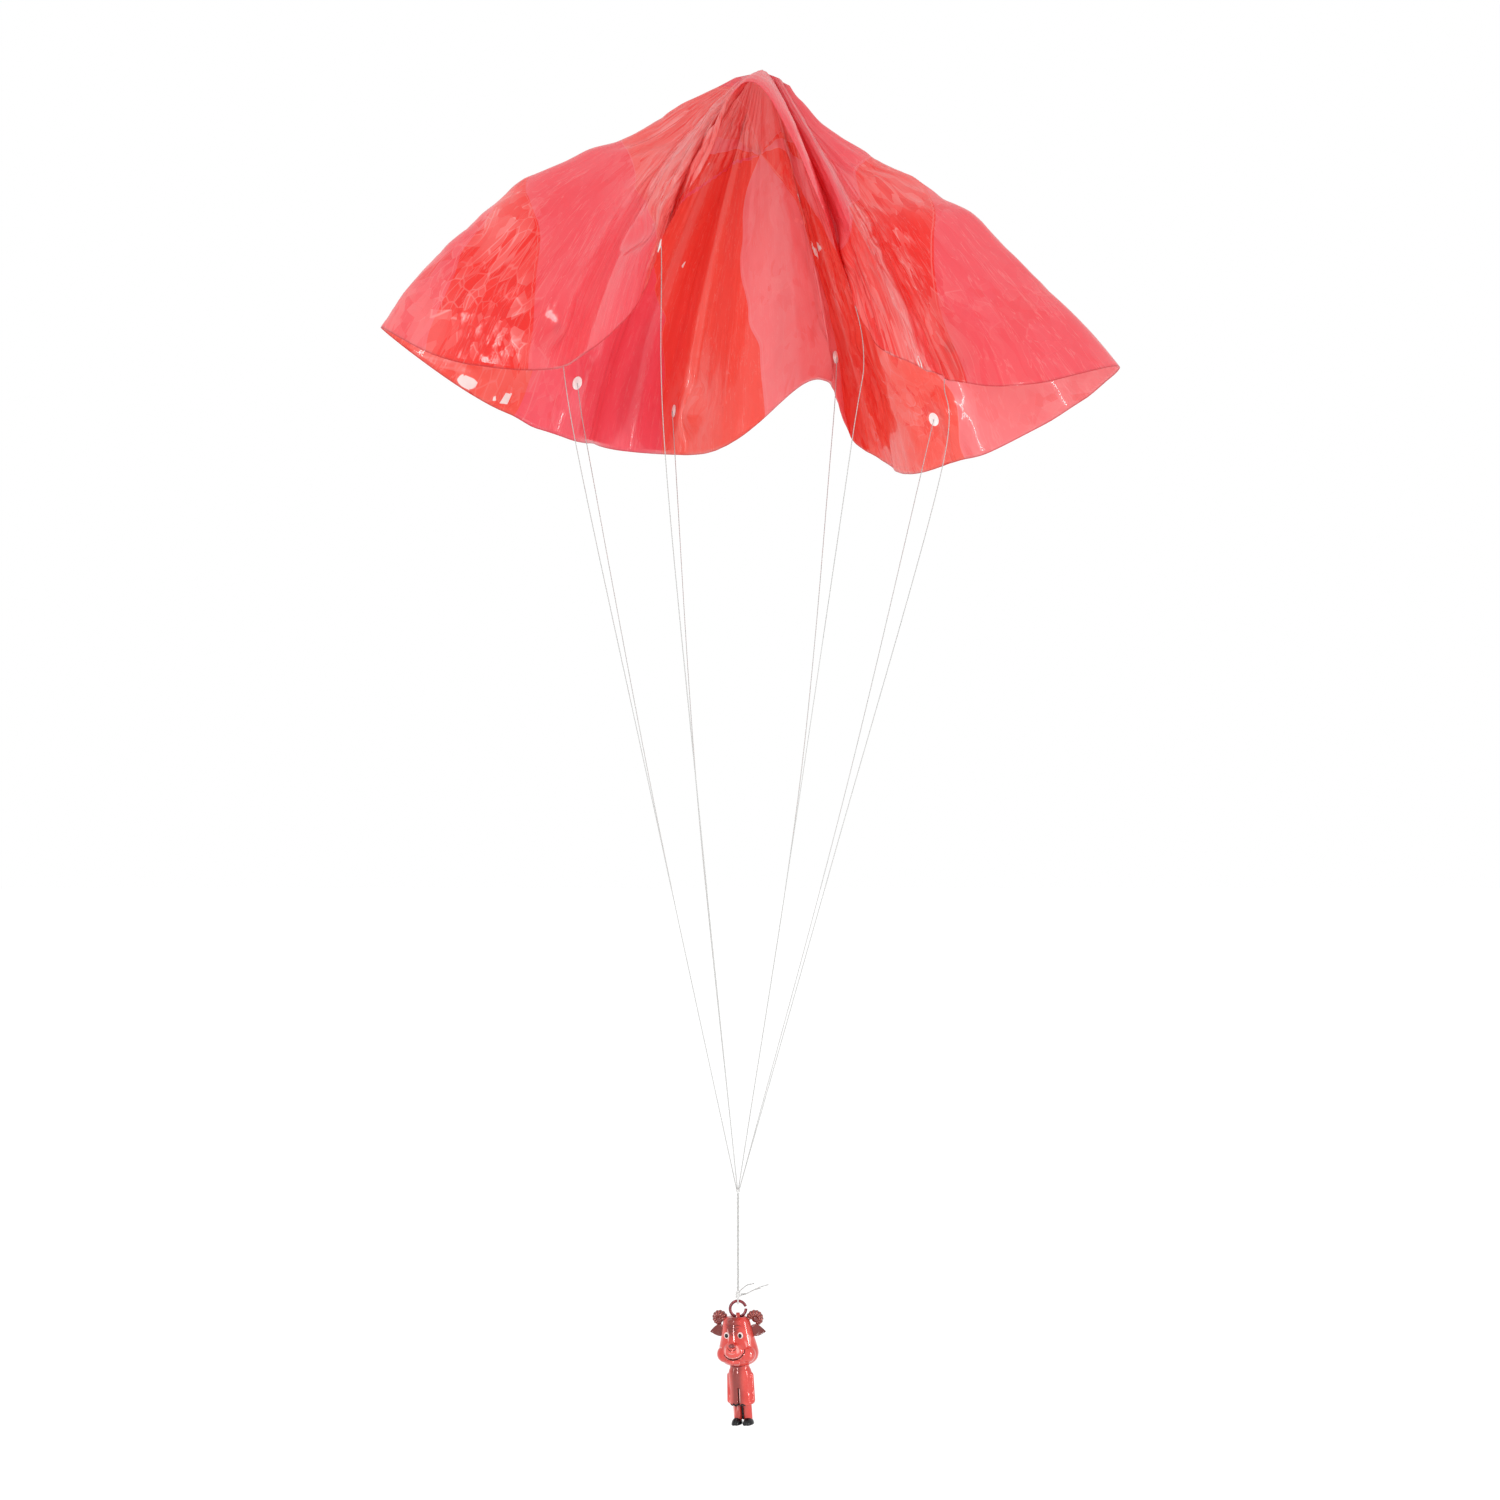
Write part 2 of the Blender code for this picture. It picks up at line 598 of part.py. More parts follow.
def hoof(side):
    """Half an egg, flat at the sole."""
    bm = round_piece((HOOF_HALF_WIDTH, HOOF_HALF_LENGTH, HOOF_HEIGHT),
                     (side * (LEG_X + HOOF_OUT_SHARE * HOOF_HALF_WIDTH), -HOOF_FORWARD, SOLE_Z), MIDDLE_ROUND)
    bmesh.ops.bisect_plane(bm, geom=list(bm.verts) + list(bm.edges) + list(bm.faces), clear_outer=True,
                           plane_co=(0, 0, SOLE_Z), plane_no=(0, 0, -1), dist=CUT_TOLERANCE)
    bmesh.ops.holes_fill(bm, edges=[edge for edge in bm.edges if len(edge.link_faces) == 1])
    bmesh.ops.recalc_face_normals(bm, faces=bm.faces)
    return bm


def head_and_coat_pieces():
    """What is joined to the head in its middle."""
    coat = turned(COAT_PROFILE_SHARES, COAT_HALF_WIDTH, COAT_HALF_DEPTH, COAT_TOP_Z - COAT_HEM_Z, COAT_TOP_Z)
    nose_y = MUZZLE_Y - MUZZLE_RADII[1] * NOSE_ON_MUZZLE_SHARE
    return (
        ("coat", coat),
        ("muzzle", round_piece(MUZZLE_RADII, (0, MUZZLE_Y, MUZZLE_Z), MIDDLE_ROUND)),
        ("forelock", round_piece(FORELOCK_RADII, (0, FORELOCK_Y, FORELOCK_Z), SMALL_ROUND)),
        ("nose", round_piece(NOSE_RADII, (0, nose_y, NOSE_Z), SMALL_ROUND)),
        ("tail", round_piece(TAIL_RADII, (0, COAT_HALF_DEPTH, TAIL_Z), SMALL_ROUND)),
    )


def side_pieces(side):
    """What is joined at one side: -1 is the viewer's left, 1 the viewer's right."""
    arm = capsule(ARM_RADIUS, Vector((side * ARM_X * ARM_TOP_X_SHARE, 0, ARM_TOP_Z)),
                  Vector((side * ARM_X, -ARM_FORWARD_SHARE * COAT_HALF_DEPTH, ARM_END_Z)))
    leg = capsule(LEG_RADIUS, Vector((side * LEG_X, 0, COAT_HEM_Z + LEG_RADIUS)),
                  Vector((side * LEG_X, 0, SOLE_Z + LEG_RADIUS * LEG_END_SHARE)))
    return (
        ("eye", round_piece(EYE_RADII, (side * EYE_X, EYE_Y, EYE_Z), SMALL_ROUND)),
        ("ear", ear(side)),
        ("arm", arm),
        ("leg", leg),
        ("hoof", hoof(side)),
    )


def horn(name, side, cutters):
    points, radii = horn_points(side)
    tube = add_tube(name, points, 2 * HORN_ROOT_RADIUS, cutters, radii=radii)
    bpy.context.view_layer.update()
    solid = make_cutter(to_mesh(tube, cutters))
    solid.matrix_world = figure_frame()
    return solid


def slit():
    """The cut up the coat's front, from the hem."""
    height = SLIT_TOP_Z - COAT_HEM_Z + CUT_OVERRUN
    bm = bmesh.new()
    bmesh.ops.create_cube(bm, size=1.0)
    bmesh.ops.scale(bm, vec=(SLIT_WIDTH, 2 * SLIT_DEPTH, height), verts=bm.verts)
    bmesh.ops.translate(bm, vec=(0, -COAT_HALF_DEPTH, SLIT_TOP_Z - height / 2), verts=bm.verts)
    return bm


def disc_across(radius, thickness, sides):
    """A disc or rod that stands across the figure, from left to right."""
    bm = bmesh.new()
    bmesh.ops.create_cone(bm, cap_ends=True, segments=sides, radius1=radius, radius2=radius, depth=thickness)
    bmesh.ops.rotate(bm, cent=(0, 0, 0), matrix=Matrix.Rotation(math.pi / 2, 3, "Y"), verts=bm.verts)
    return bm


def lug():
    """A disc round the hole, drawn down into the head."""
    radius = LUG_HOLE_RADIUS + LUG_WALL
    bm = disc_across(radius, LUG_THICKNESS, TURNED_SIDES)
    for vertex in bm.verts:
        if vertex.co.z < 0:
            vertex.co.z -= LUG_DEPTH - radius
    return bm


def add_lug(figure, cutters):
    """A dimple in the head's top for the ring, and a lug in it with the hole for the ring."""
    dimple = round_piece(DIMPLE_RADII, (0, 0, DIMPLE_Z), LARGE_ROUND)
    hole = disc_across(LUG_HOLE_RADIUS, LUG_THICKNESS + 2 * CUT_OVERRUN, HOLE_SIDES)
    boolean(figure, upright_cutter("figure_dimple", dimple, cutters), "DIFFERENCE")
    boolean(figure, upright_cutter("figure_lug", lug(), cutters), "UNION")
    boolean(figure, upright_cutter("figure_hole", hole, cutters), "DIFFERENCE")


def add_figure(group, cutters, material):
    """A standing ram in a short coat, one moulding, hung by a lug on its head."""
    head = turned(HEAD_PROFILE_SHARES, HEAD_HALF_WIDTH, HEAD_HALF_DEPTH, HEAD_HEIGHT, 0.0)
    figure = mesh_object("figure", head, group, material)
    figure.matrix_world = figure_frame()
    for name, bm in head_and_coat_pieces():
        boolean(figure, leaning_cutter(f"figure_{name}", bm, cutters), "UNION")
    for side, word in ((-1, "left"), (1, "right")):
        for name, bm in side_pieces(side):
            boolean(figure, leaning_cutter(f"figure_{word}_{name}", bm, cutters), "UNION")
        boolean(figure, horn(f"figure_{word}_horn", side, cutters), "UNION")
    boolean(figure, leaning_cutter("figure_slit", slit(), cutters), "DIFFERENCE")
    add_lug(figure, cutters)
    figure.data.shade_smooth()


def main():
    clear_scene()
    group = collection("toy_parachute")
    cutters = collection("cutters")
    film = principled("film", FILM_FINISH)
    string = principled("string", STRING_FINISH)
    dot = principled("dot", DOT_FINISH)
    wine = principled("ring_paint", RING_FINISH)
    red = principled("figure_red", FIGURE_FINISH)

    canopy = add_film(group, film)
    bpy.context.view_layer.update()
    for number in range(STRING_COUNT):
        seat = dot_seat(canopy, number)
        add_dot(seat, number, group, dot)
        add_string(seat, number, group, string)
    add_gather_knot(group, string)
    add_riser(group, string)
    add_ring_knot(group, cutters, string)
    add_loose_ends(group, string)
    add_ring(group, wine)
    add_figure(group, cutters, red)


main()
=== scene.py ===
"""Looks of a hung toy parachute: printed film canopy, white threads, an open ring and a glossy ram."""

import math

import bmesh
import bpy
from mathutils import Matrix, Vector, noise


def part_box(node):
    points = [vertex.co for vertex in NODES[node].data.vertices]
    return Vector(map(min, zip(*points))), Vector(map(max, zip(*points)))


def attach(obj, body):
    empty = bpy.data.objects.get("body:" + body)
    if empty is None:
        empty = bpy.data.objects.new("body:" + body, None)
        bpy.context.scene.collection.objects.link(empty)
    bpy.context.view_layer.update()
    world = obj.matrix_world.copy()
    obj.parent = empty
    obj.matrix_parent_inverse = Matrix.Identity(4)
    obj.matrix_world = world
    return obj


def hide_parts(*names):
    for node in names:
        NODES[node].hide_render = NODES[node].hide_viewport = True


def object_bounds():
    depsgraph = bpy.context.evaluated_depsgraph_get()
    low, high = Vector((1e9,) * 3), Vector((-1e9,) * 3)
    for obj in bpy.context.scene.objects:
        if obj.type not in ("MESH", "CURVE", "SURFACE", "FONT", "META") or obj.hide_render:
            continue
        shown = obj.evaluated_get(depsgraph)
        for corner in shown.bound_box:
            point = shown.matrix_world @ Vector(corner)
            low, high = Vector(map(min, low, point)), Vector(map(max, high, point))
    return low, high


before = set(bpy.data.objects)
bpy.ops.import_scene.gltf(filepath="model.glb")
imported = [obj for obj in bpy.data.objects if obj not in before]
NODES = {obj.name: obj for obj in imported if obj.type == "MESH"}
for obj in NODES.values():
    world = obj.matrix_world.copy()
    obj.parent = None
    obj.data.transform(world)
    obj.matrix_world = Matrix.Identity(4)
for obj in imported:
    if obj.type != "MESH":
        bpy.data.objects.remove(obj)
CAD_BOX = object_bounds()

bl_info = {
    "name": "Hung toy parachute",
    "version": (1, 0, 0),
    "blender": (4, 5, 0),
    "location": "View3D > Sidebar > Parachute",
    "description": "Dresses the packed toy parachute with film, threads, ring, figure and a plain stage",
    "category": "Object",
}

MM = 0.001
JOIN_DISTANCE = 0.002 * MM
SHARP_TURN = 1.0
# How many points a smooth curve gets before it is divided evenly
STRING_POINTS, END_POINTS, LINE_POINTS, PROFILE_POINTS = 200, 60, 40, 48

# Canopy film: the same sheet and rim as the packed solid
FILM_RADIUS = 190 * MM
CROWN_RIDGE_HALF_LENGTH = 7 * MM
CROWN_RIDGE_HALF_WIDTH = 1.5 * MM
BULGE_OUT_SHARE = 0.335
BULGE_UP_SHARE = 0.315
BULGE_LEFT_SHARE = 0.135
# Degrees round the sheet, then the hung rim's place to the right, to the back and down
RIM_SHARES = (
    (0.0, 0.75, 0.00, 0.62), (11.0, 0.60, 0.16, 0.71), (22.5, 0.35, 0.19, 0.82),
    (34.0, 0.32, 0.45, 0.80), (45.0, 0.27, 0.57, 0.75), (56.0, 0.21, 0.50, 0.72),
    (67.5, 0.16, 0.39, 0.62), (79.0, 0.10, 0.52, 0.58), (90.0, -0.02, 0.59, 0.68),
    (101.0, -0.11, 0.55, 0.74), (112.5, -0.19, 0.41, 0.76), (124.0, -0.26, 0.57, 0.74),
    (135.0, -0.35, 0.59, 0.73), (146.0, -0.39, 0.42, 0.73), (157.5, -0.40, 0.21, 0.73),
    (169.0, -0.59, 0.20, 0.68), (180.0, -0.80, 0.00, 0.54), (191.0, -0.63, -0.18, 0.64),
    (202.5, -0.43, -0.23, 0.66), (214.0, -0.37, -0.45, 0.67), (225.0, -0.30, -0.55, 0.64),
    (237.0, -0.24, -0.52, 0.57), (247.5, -0.21, -0.38, 0.45), (258.0, -0.14, -0.35, 0.31),
    (270.0, -0.03, -0.16, 0.06), (281.0, 0.09, -0.34, 0.29), (292.5, 0.20, -0.37, 0.61),
    (303.0, 0.23, -0.53, 0.66), (315.0, 0.28, -0.60, 0.70), (326.0, 0.34, -0.45, 0.70),
    (337.5, 0.37, -0.22, 0.68), (349.0, 0.52, -0.21, 0.69),
)
FILM_COLUMNS = 480
FILM_RINGS = 100
FIRST_RING_SHARE = 0.03
# The sheet is held this far in front of its middle, where the printed panels meet.
HELD_BEFORE_MIDDLE = 66 * MM
# The UV map is the flat sheet, this wide.
SHEET_MAP_WIDTH = 400 * MM

# Strings, as in the packed solid
STRING_COUNT = 8
FIRST_STRING_DEG = 22.5
STRING_END_SPACE = 0.15 * MM
STRING_STEP = 0.4 * MM
SEAT_GAP = 0.3 * MM
# Each string's bows: share of the way down, then the offset to the right and to the back
STRING_BOWS = (
    ((0.50, 2.3 * MM, 0.5 * MM),),
    ((0.11, 2.0 * MM, 0.5 * MM), (0.53, 5.5 * MM, 1.0 * MM)),
    ((0.50, -3.0 * MM, 1.0 * MM),),
    ((0.10, -1.1 * MM, 0.0), (0.55, -2.5 * MM, 0.5 * MM)),
    ((0.15, -2.5 * MM, -0.5 * MM), (0.58, -1.3 * MM, -0.5 * MM)),
    ((0.20, -4.8 * MM, -1.0 * MM), (0.59, -3.0 * MM, -1.0 * MM)),
    ((0.09, 11.0 * MM, -6.0 * MM), (0.19, 10.5 * MM, -5.0 * MM), (0.58, 6.0 * MM, -2.0 * MM)),
    ((0.04, 1.5 * MM, 0.0), (0.15, 9.0 * MM, 0.0), (0.60, 4.5 * MM, 0.0)),
)
PLY_DEPTH_SHARE = 0.14
DOT_WALL = 0.3 * MM
DOT_DOME = 0.45 * MM
DOT_SEGMENTS = 48
DOT_INSET_SHARE = 0.19
DOT_LEVELS = (0.75, 0.55, 0.35, 0.18)
DOT_EDGE_DEG = 40.0

# Below the strings
GATHER_KNOT_RADIUS = 0.85 * MM
# Each of the knot's turns of thread: how far it leans, and towards where
GATHER_TURNS_DEG = ((12, 0), (-16, 70), (24, 140), (62, 30))
GATHER_TURN_STEP = 0.22 * MM
GATHER_TURN_SHARE = 0.78
GATHER_THREAD_SHARE = 0.55
KNOT_CORE_SHARE = 0.8
GATHER_VOXEL = 0.07 * MM
RISER_LENGTH = 38.9 * MM
RISER_STRANDS = 4
STRAND_SHARE = 0.44
STRAND_POINTS = 110
RISER_STEPS = 40
RING_KNOT_HEIGHT = 2.6 * MM
RING_KNOT_RADIUS = 1.1 * MM
RING_KNOT_WRAPS = 4
WRAPPED_SHARE = 0.82
WRAP_SHARE = 0.74
WRAP_THREAD_SHARE = 0.46
RING_KNOT_VOXEL = 0.08 * MM
WRAP_TILTS_DEG = (-10, 14)
LOOP_CLEARANCE = 0.3 * MM
# The cut ends fray near their tips. Their routes are offsets from the knot's middle.
FRAY_START_SHARE = 0.75
FRAY_SHARE = 0.25
FRAY_TURN = 1.7
LOOSE_END_ROUTES = (
    ((1.35 * MM, 0.5 * MM, 0.2 * MM), (4.0 * MM, 1.5 * MM, 0.4 * MM), (8.0 * MM, 2.5 * MM, 2.2 * MM),
     (12.2 * MM, 3.2 * MM, 3.4 * MM)),
    ((1.15 * MM, 0.9 * MM, -0.4 * MM), (3.2 * MM, 2.9 * MM, -0.3 * MM), (6.2 * MM, 4.6 * MM, 0.9 * MM),
     (9.0 * MM, 5.4 * MM, 1.5 * MM)),
    ((0.3 * MM, 1.4 * MM, 0.5 * MM), (1.2 * MM, 3.6 * MM, 1.2 * MM), (3.6 * MM, 6.0 * MM, 2.6 * MM),
     (6.4 * MM, 7.4 * MM, 3.0 * MM)),
)
RING_RADIUS = 3.15 * MM
RING_ROUNDING_SHARE = 0.12
RING_EDGE_DEG = 50.0


# Sizes and colours that a user would change

def metres(name, description, default):
    return bpy.props.FloatProperty(name=name, description=description, default=default, min=0.0,
                                   subtype="DISTANCE", unit="LENGTH", precision=5)


def fraction(name, description, default):
    return bpy.props.FloatProperty(name=name, description=description, default=default, min=0.0, max=1.0,
                                   subtype="FACTOR")


def paint(name, description, default):
    return bpy.props.FloatVectorProperty(name=name, description=description, default=default, size=4,
                                         min=0.0, max=1.0, subtype="COLOR")


def watts(name, description, default):
    return bpy.props.FloatProperty(name=name, description=description, default=default, min=0.0,
                                   subtype="POWER", unit="POWER")


class PARACHUTE_film(bpy.types.PropertyGroup):
    """The printed film of the canopy"""
    wall: metres("Film thickness", "Thickness of the film", 0.1 * MM)
    fold_height: metres("Fold height", "Height of the long soft folds", 0.9 * MM)
    pleat_height: metres("Pleat height", "Height of the narrow pleats that run from the crown", 0.35 * MM)
    facet_height: metres("Facet height", "Height of the small facets in crumpled film", 1.3 * MM)
    see_through: fraction("Light through", "How much light the film lets through", 0.45)
    # The inside colours are paler, lit copies of the outside print: painted light for the light that comes
    # through the film.
    red: paint("Red", "Red panels, outside", (0.92, 0.030, 0.018, 1))
    red_inside: paint("Red inside", "Red panels, inside", (0.98, 0.150, 0.105, 1))
    coral: paint("Coral", "Coral panel, outside", (0.92, 0.160, 0.145, 1))
    coral_inside: paint("Coral inside", "Coral panels, inside", (0.97, 0.260, 0.240, 1))
    pink: paint("Pink", "Pink panels, outside", (0.92, 0.118, 0.152, 1))
    pink_inside: paint("Pink inside", "Pink panels, inside", (0.97, 0.310, 0.325, 1))
    light_pink: paint("Light pink", "Light pink panel, outside", (0.92, 0.220, 0.230, 1))
    crimson_inside: paint("Crimson inside", "Crimson panel, inside", (0.98, 0.165, 0.225, 1))
    # The next four colours are painted light: a highlight on creases and facets, shade on facets, white glare
    # on crinkles, and shade along the film's cut edge.
    crease_highlight: paint("Pale crease", "Colour of stretched creases and haze", (1.0, 0.56, 0.54, 1))
    deep_crease: paint("Deep crease", "Colour of shaded facets", (0.90, 0.030, 0.024, 1))
    scuff: paint("Scuff", "Colour of the small pressed spots", (0.97, 0.90, 0.88, 1))
    rim: paint("Cut edge", "Colour of the film's cut edge", (0.72, 0.040, 0.045, 1))


class PARACHUTE_thread(bpy.types.PropertyGroup):
    """Strings, stickers, knots and riser"""
    diameter: metres("String diameter", "Diameter of each of the eight strings", 0.4 * MM)
    pitch: metres("Twist pitch", "Length of one turn of a string's strands", 2.4 * MM)
    riser_diameter: metres("Riser diameter", "Diameter of the twisted riser", 1.1 * MM)
    riser_pitch: metres("Riser pitch", "Length of one turn of the riser", 7.5 * MM)
    loop_diameter: metres("Loop diameter", "Diameter of the thread round the ring", 0.55 * MM)
    end_diameter: metres("Cut end diameter", "Diameter of the three cut ends", 0.5 * MM)
    sticker_radius: metres("Sticker radius", "Half the width of a sticker", 1.9 * MM)
    sticker_length: metres("Sticker length", "Length of a sticker along its string", 5.6 * MM)
    # The cord and string colours are white greyed down, and the groove colour darker still: painted shade for
    # the shade that falls on thin white thread.
    light: paint("Cord", "The riser's and knots' own colour", (0.76, 0.76, 0.75, 1))
    fine: paint("String", "The eight thin strings' own colour", (0.56, 0.56, 0.55, 1))
    groove_shade: paint("Thread grooves", "Colour between the strands", (0.36, 0.36, 0.35, 1))
    sticker: paint("Sticker", "The stickers' own colour", (0.90, 0.90, 0.88, 1))


class PARACHUTE_ring(bpy.types.PropertyGroup):
    """The open ring"""
    wire: metres("Wire diameter", "Diameter of the ring's wire", 1.2 * MM)
    gap: metres("Gap", "Width of the ring's opening", 0.9 * MM)
    gap_angle: bpy.props.FloatProperty(name="Gap angle", default=math.radians(10), subtype="ANGLE",
                                       description="Where the opening is, up from the right",
                                       unit="ROTATION")
    light: paint("Wire", "The coated wire's colour", (0.26, 0.035, 0.045, 1))
    dark: paint("Wire shade", "The wire where its coat is thick", (0.10, 0.012, 0.018, 1))


class PARACHUTE_figure(bpy.types.PropertyGroup):
    """The moulded ram"""
    ear_length: metres("Ear length", "Length of an ear from its root", 6.8 * MM)
    horn_ribs: bpy.props.IntProperty(name="Horn ribs", description="Ribs along each horn", default=11, min=3,
                                     max=30)
    light: paint("Coral red", "The moulding's lighter red", (0.66, 0.068, 0.052, 1))
    dark: paint("Deep red", "The moulding's deeper red", (0.58, 0.035, 0.025, 1))
    # The next colour is brown paint on the forehead and a painted dark reflection down the coat's front.
    brown_and_dark_reflection: paint("Front brown", "Forehead and front of the coat", (0.15, 0.012, 0.008, 1))
    # The next colour is a painted highlight, for pale streaks on the moulding and pale lines on the face and
    # coat.
    painted_highlight: paint("Pearl", "Pale streaks in the finish", (0.90, 0.50, 0.46, 1))
    black: paint("Black", "Hooves, pupils and painted lines", (0.008, 0.008, 0.010, 1))
    wine: paint("Wine", "Nose and hair lines", (0.20, 0.018, 0.018, 1))
    ear: paint("Ear", "The ears' colour", (0.17, 0.016, 0.012, 1))
    eye: paint("Eye", "The eyes' pale surround", (0.84, 0.66, 0.63, 1))
    horn: paint("Horn", "The horns between their ribs", (0.15, 0.012, 0.013, 1))
    horn_rib: paint("Horn rib", "The horns' worn ribs", (0.62, 0.120, 0.070, 1))


class PARACHUTE_studio(bpy.types.PropertyGroup):
    """Camera, lamps and floor"""
    camera: bpy.props.FloatVectorProperty(name="Camera", description="Where the camera stands",
                                          default=(-5.2 * MM, -1100 * MM, -270.8 * MM), subtype="XYZ",
                                          unit="LENGTH", precision=4)
    lens: bpy.props.FloatProperty(name="Lens", description="Focal length", default=66.0, min=1.0,
                                  unit="CAMERA")
    floor_below: metres("Floor", "How far the floor lies below the hooves", 90 * MM)
    world: fraction("World", "Light from all round", 0.95)
    key: watts("Key lamp", "Power of the key lamp", 5.0)
    fill: watts("Fill lamp", "Power of the fill lamp", 2.5)
    strip: watts("Strip lamps", "Power of each strip lamp beside the figure", 0.8)


def middle_of(node):
    low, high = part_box(node)
    return (low + high) / 2


GATHER = middle_of("gather_knot")
RING_MIDDLE = Vector((GATHER.x, GATHER.y, middle_of("hanging_ring").z))
HOLE = RING_MIDDLE - Vector((0, 0, RING_RADIUS))
KNOT_TOP = GATHER.z - GATHER_KNOT_RADIUS - RISER_LENGTH - 2 * SEAT_GAP
RING_KNOT = Vector((GATHER.x, GATHER.y, KNOT_TOP - RING_KNOT_HEIGHT / 2))


# Shader nodes in few words

def add(tree, kind, inputs=(), **settings):
    """A shader node with its settings, and its inputs set or linked."""
    made = tree.nodes.new("ShaderNode" + kind)
    for name, value in settings.items():
        setattr(made, name, value)
    for name, value in dict(inputs).items():
        if isinstance(value, bpy.types.NodeSocket):
            tree.links.new(value, made.inputs[name])
        else:
            made.inputs[name].default_value = value
    return made


def calc(tree, operation, *values):
    return add(tree, "Math", enumerate(values), operation=operation).outputs[0]


def vector(tree, operation, *values):
    return add(tree, "VectorMath", enumerate(values), operation=operation).outputs[0]


def length_of(tree, value):
    return add(tree, "VectorMath", {0: value}, operation="LENGTH").outputs["Value"]


def blend_colour(tree, share, first, second, blend_type="MIX"):
    made = add(tree, "Mix", data_type="RGBA", blend_type=blend_type)
    for name, value in (("Factor_Float", share), ("A_Color", first), ("B_Color", second)):
        socket = next(s for s in made.inputs if s.identifier == name)
        if isinstance(value, bpy.types.NodeSocket):
            tree.links.new(value, socket)
        else:
            socket.default_value = value
    return next(s for s in made.outputs if s.identifier == "Result_Color")


def fade(tree, value, start, end, low=0.0, high=1.0):
    """A smooth step from low at start to high at end."""
    return add(tree, "MapRange", {"Value": value, "From Min": start, "From Max": end, "To Min": low,
                                  "To Max": high}, interpolation_type="SMOOTHSTEP").outputs["Result"]


def noise_at(tree, place, scale, detail=3.0, roughness=0.5, distortion=0.0):
    return add(tree, "TexNoise", {"Vector": place, "Scale": scale, "Detail": detail, "Roughness": roughness,
                                  "Distortion": distortion}).outputs["Fac"]


def group_tree(name, inputs, outputs):
    """A new node group with its named sockets: (name, kind, value) and (name, kind)."""
    tree = bpy.data.node_groups.new(name, "ShaderNodeTree")
    for label, kind, value in inputs:
        socket = tree.interface.new_socket(label, in_out="INPUT", socket_type="NodeSocket" + kind)
        if value is not None:
            socket.default_value = value
    for label, kind in outputs:
        tree.interface.new_socket(label, in_out="OUTPUT", socket_type="NodeSocket" + kind)
    return tree, tree.nodes.new("NodeGroupInput").outputs, tree.nodes.new("NodeGroupOutput").inputs


def use_group(tree, group, **inputs):
    made = tree.nodes.new("ShaderNodeGroup")
    made.node_tree = group
    for name, value in inputs.items():
        socket = made.inputs[name.replace("_", " ").capitalize()]
        if isinstance(value, bpy.types.NodeSocket):
            tree.links.new(value, socket)
        else:
            socket.default_value = value
    return made.outputs


def new_material(name, roughness, metallic=0.0, **settings):
    """A material with its Principled shader, the tree and the shader's inputs."""
    material = bpy.data.materials.new(name)
    material.use_nodes = True
    shader = material.node_tree.nodes["Principled BSDF"]
    shader.inputs["Roughness"].default_value = roughness
    shader.inputs["Metallic"].default_value = metallic
    for key, value in settings.items():
        shader.inputs[key.replace("_", " ")].default_value = value
    return material, material.node_tree, shader


def dress(tree, shader, colour, height, distance, strength, rough=None):
    """Links the shader's colour, its bump and, where it varies, its roughness."""
    tree.links.new(colour, shader.inputs["Base Color"])
    if rough is not None:
        tree.links.new(rough, shader.inputs["Roughness"])
    bump = add(tree, "Bump", {"Height": height, "Distance": distance, "Strength": strength})
    tree.links.new(bump.outputs["Normal"], shader.inputs["Normal"])


# Mesh helpers

def link_object(item):
    bpy.context.scene.collection.objects.link(item)
    return item


def piece_from(name, bm, material=None, smooth=True):
    mesh = bpy.data.meshes.new(name)
    bm.to_mesh(mesh)
    bm.free()
    item = link_object(bpy.data.objects.new(name, mesh))
    if material:
        mesh.materials.append(material)
    if smooth:
        mesh.shade_smooth()
    return item


def stand_in(item, body, node):
    """The item rides on the body and stands in for the node, which it hides."""
    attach(item, body)
    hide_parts(node)


def evaluated_mesh(item):
    """The item's mesh with its modifiers applied, and the item removed."""
    bpy.context.view_layer.update()
    graph = bpy.context.evaluated_depsgraph_get()
    mesh = bpy.data.meshes.new_from_object(item.evaluated_get(graph))
    bpy.data.objects.remove(item)
    return mesh


def evaluated_shape(item):
    """The item's shape with its modifiers applied, and the item removed."""
    mesh = evaluated_mesh(item)
    bm = bmesh.new()
    bm.from_mesh(mesh)
    bpy.data.meshes.remove(mesh)
    return bm


def swept_shape(item):
    """The evaluated shape of a curve, its ends' doubled points joined."""
    bm = evaluated_shape(item)
    bmesh.ops.remove_doubles(bm, verts=bm.verts, dist=JOIN_DISTANCE)
    return bm


def merged_solid(name, bm, voxel, smoothings):
    """One closed skin round all the overlapping shapes of bm."""
    item = piece_from(name + "_raw", bm)
    step = item.modifiers.new("union", "REMESH")
    step.mode = "VOXEL"
    step.voxel_size = voxel
    bm = evaluated_shape(item)
    for _ in range(smoothings):
        bmesh.ops.smooth_vert(bm, verts=bm.verts, factor=0.5, use_axis_x=True, use_axis_y=True,
                              use_axis_z=True)
    return bm


def catmull_rom(points, count):
    """Points along a smooth curve through the given ones, count of them, at even shares."""
    ends = [points[0] * 2 - points[1]] + list(points) + [points[-1] * 2 - points[-2]]
    spans = len(points) - 1
    result = []
    for step in range(count):
        place = step / (count - 1) * spans
        index = min(int(place), spans - 1)
        share = place - index
        before, start, end, after = ends[index:index + 4]
        result.append(0.5 * (2 * start + (end - before) * share
                             + (2 * before - 5 * start + 4 * end - after) * share ** 2
                             + (3 * start - before - 3 * end + after) * share ** 3))
    return result


def path_length(points):
    return sum((b - a).length for a, b in zip(points, points[1:]))


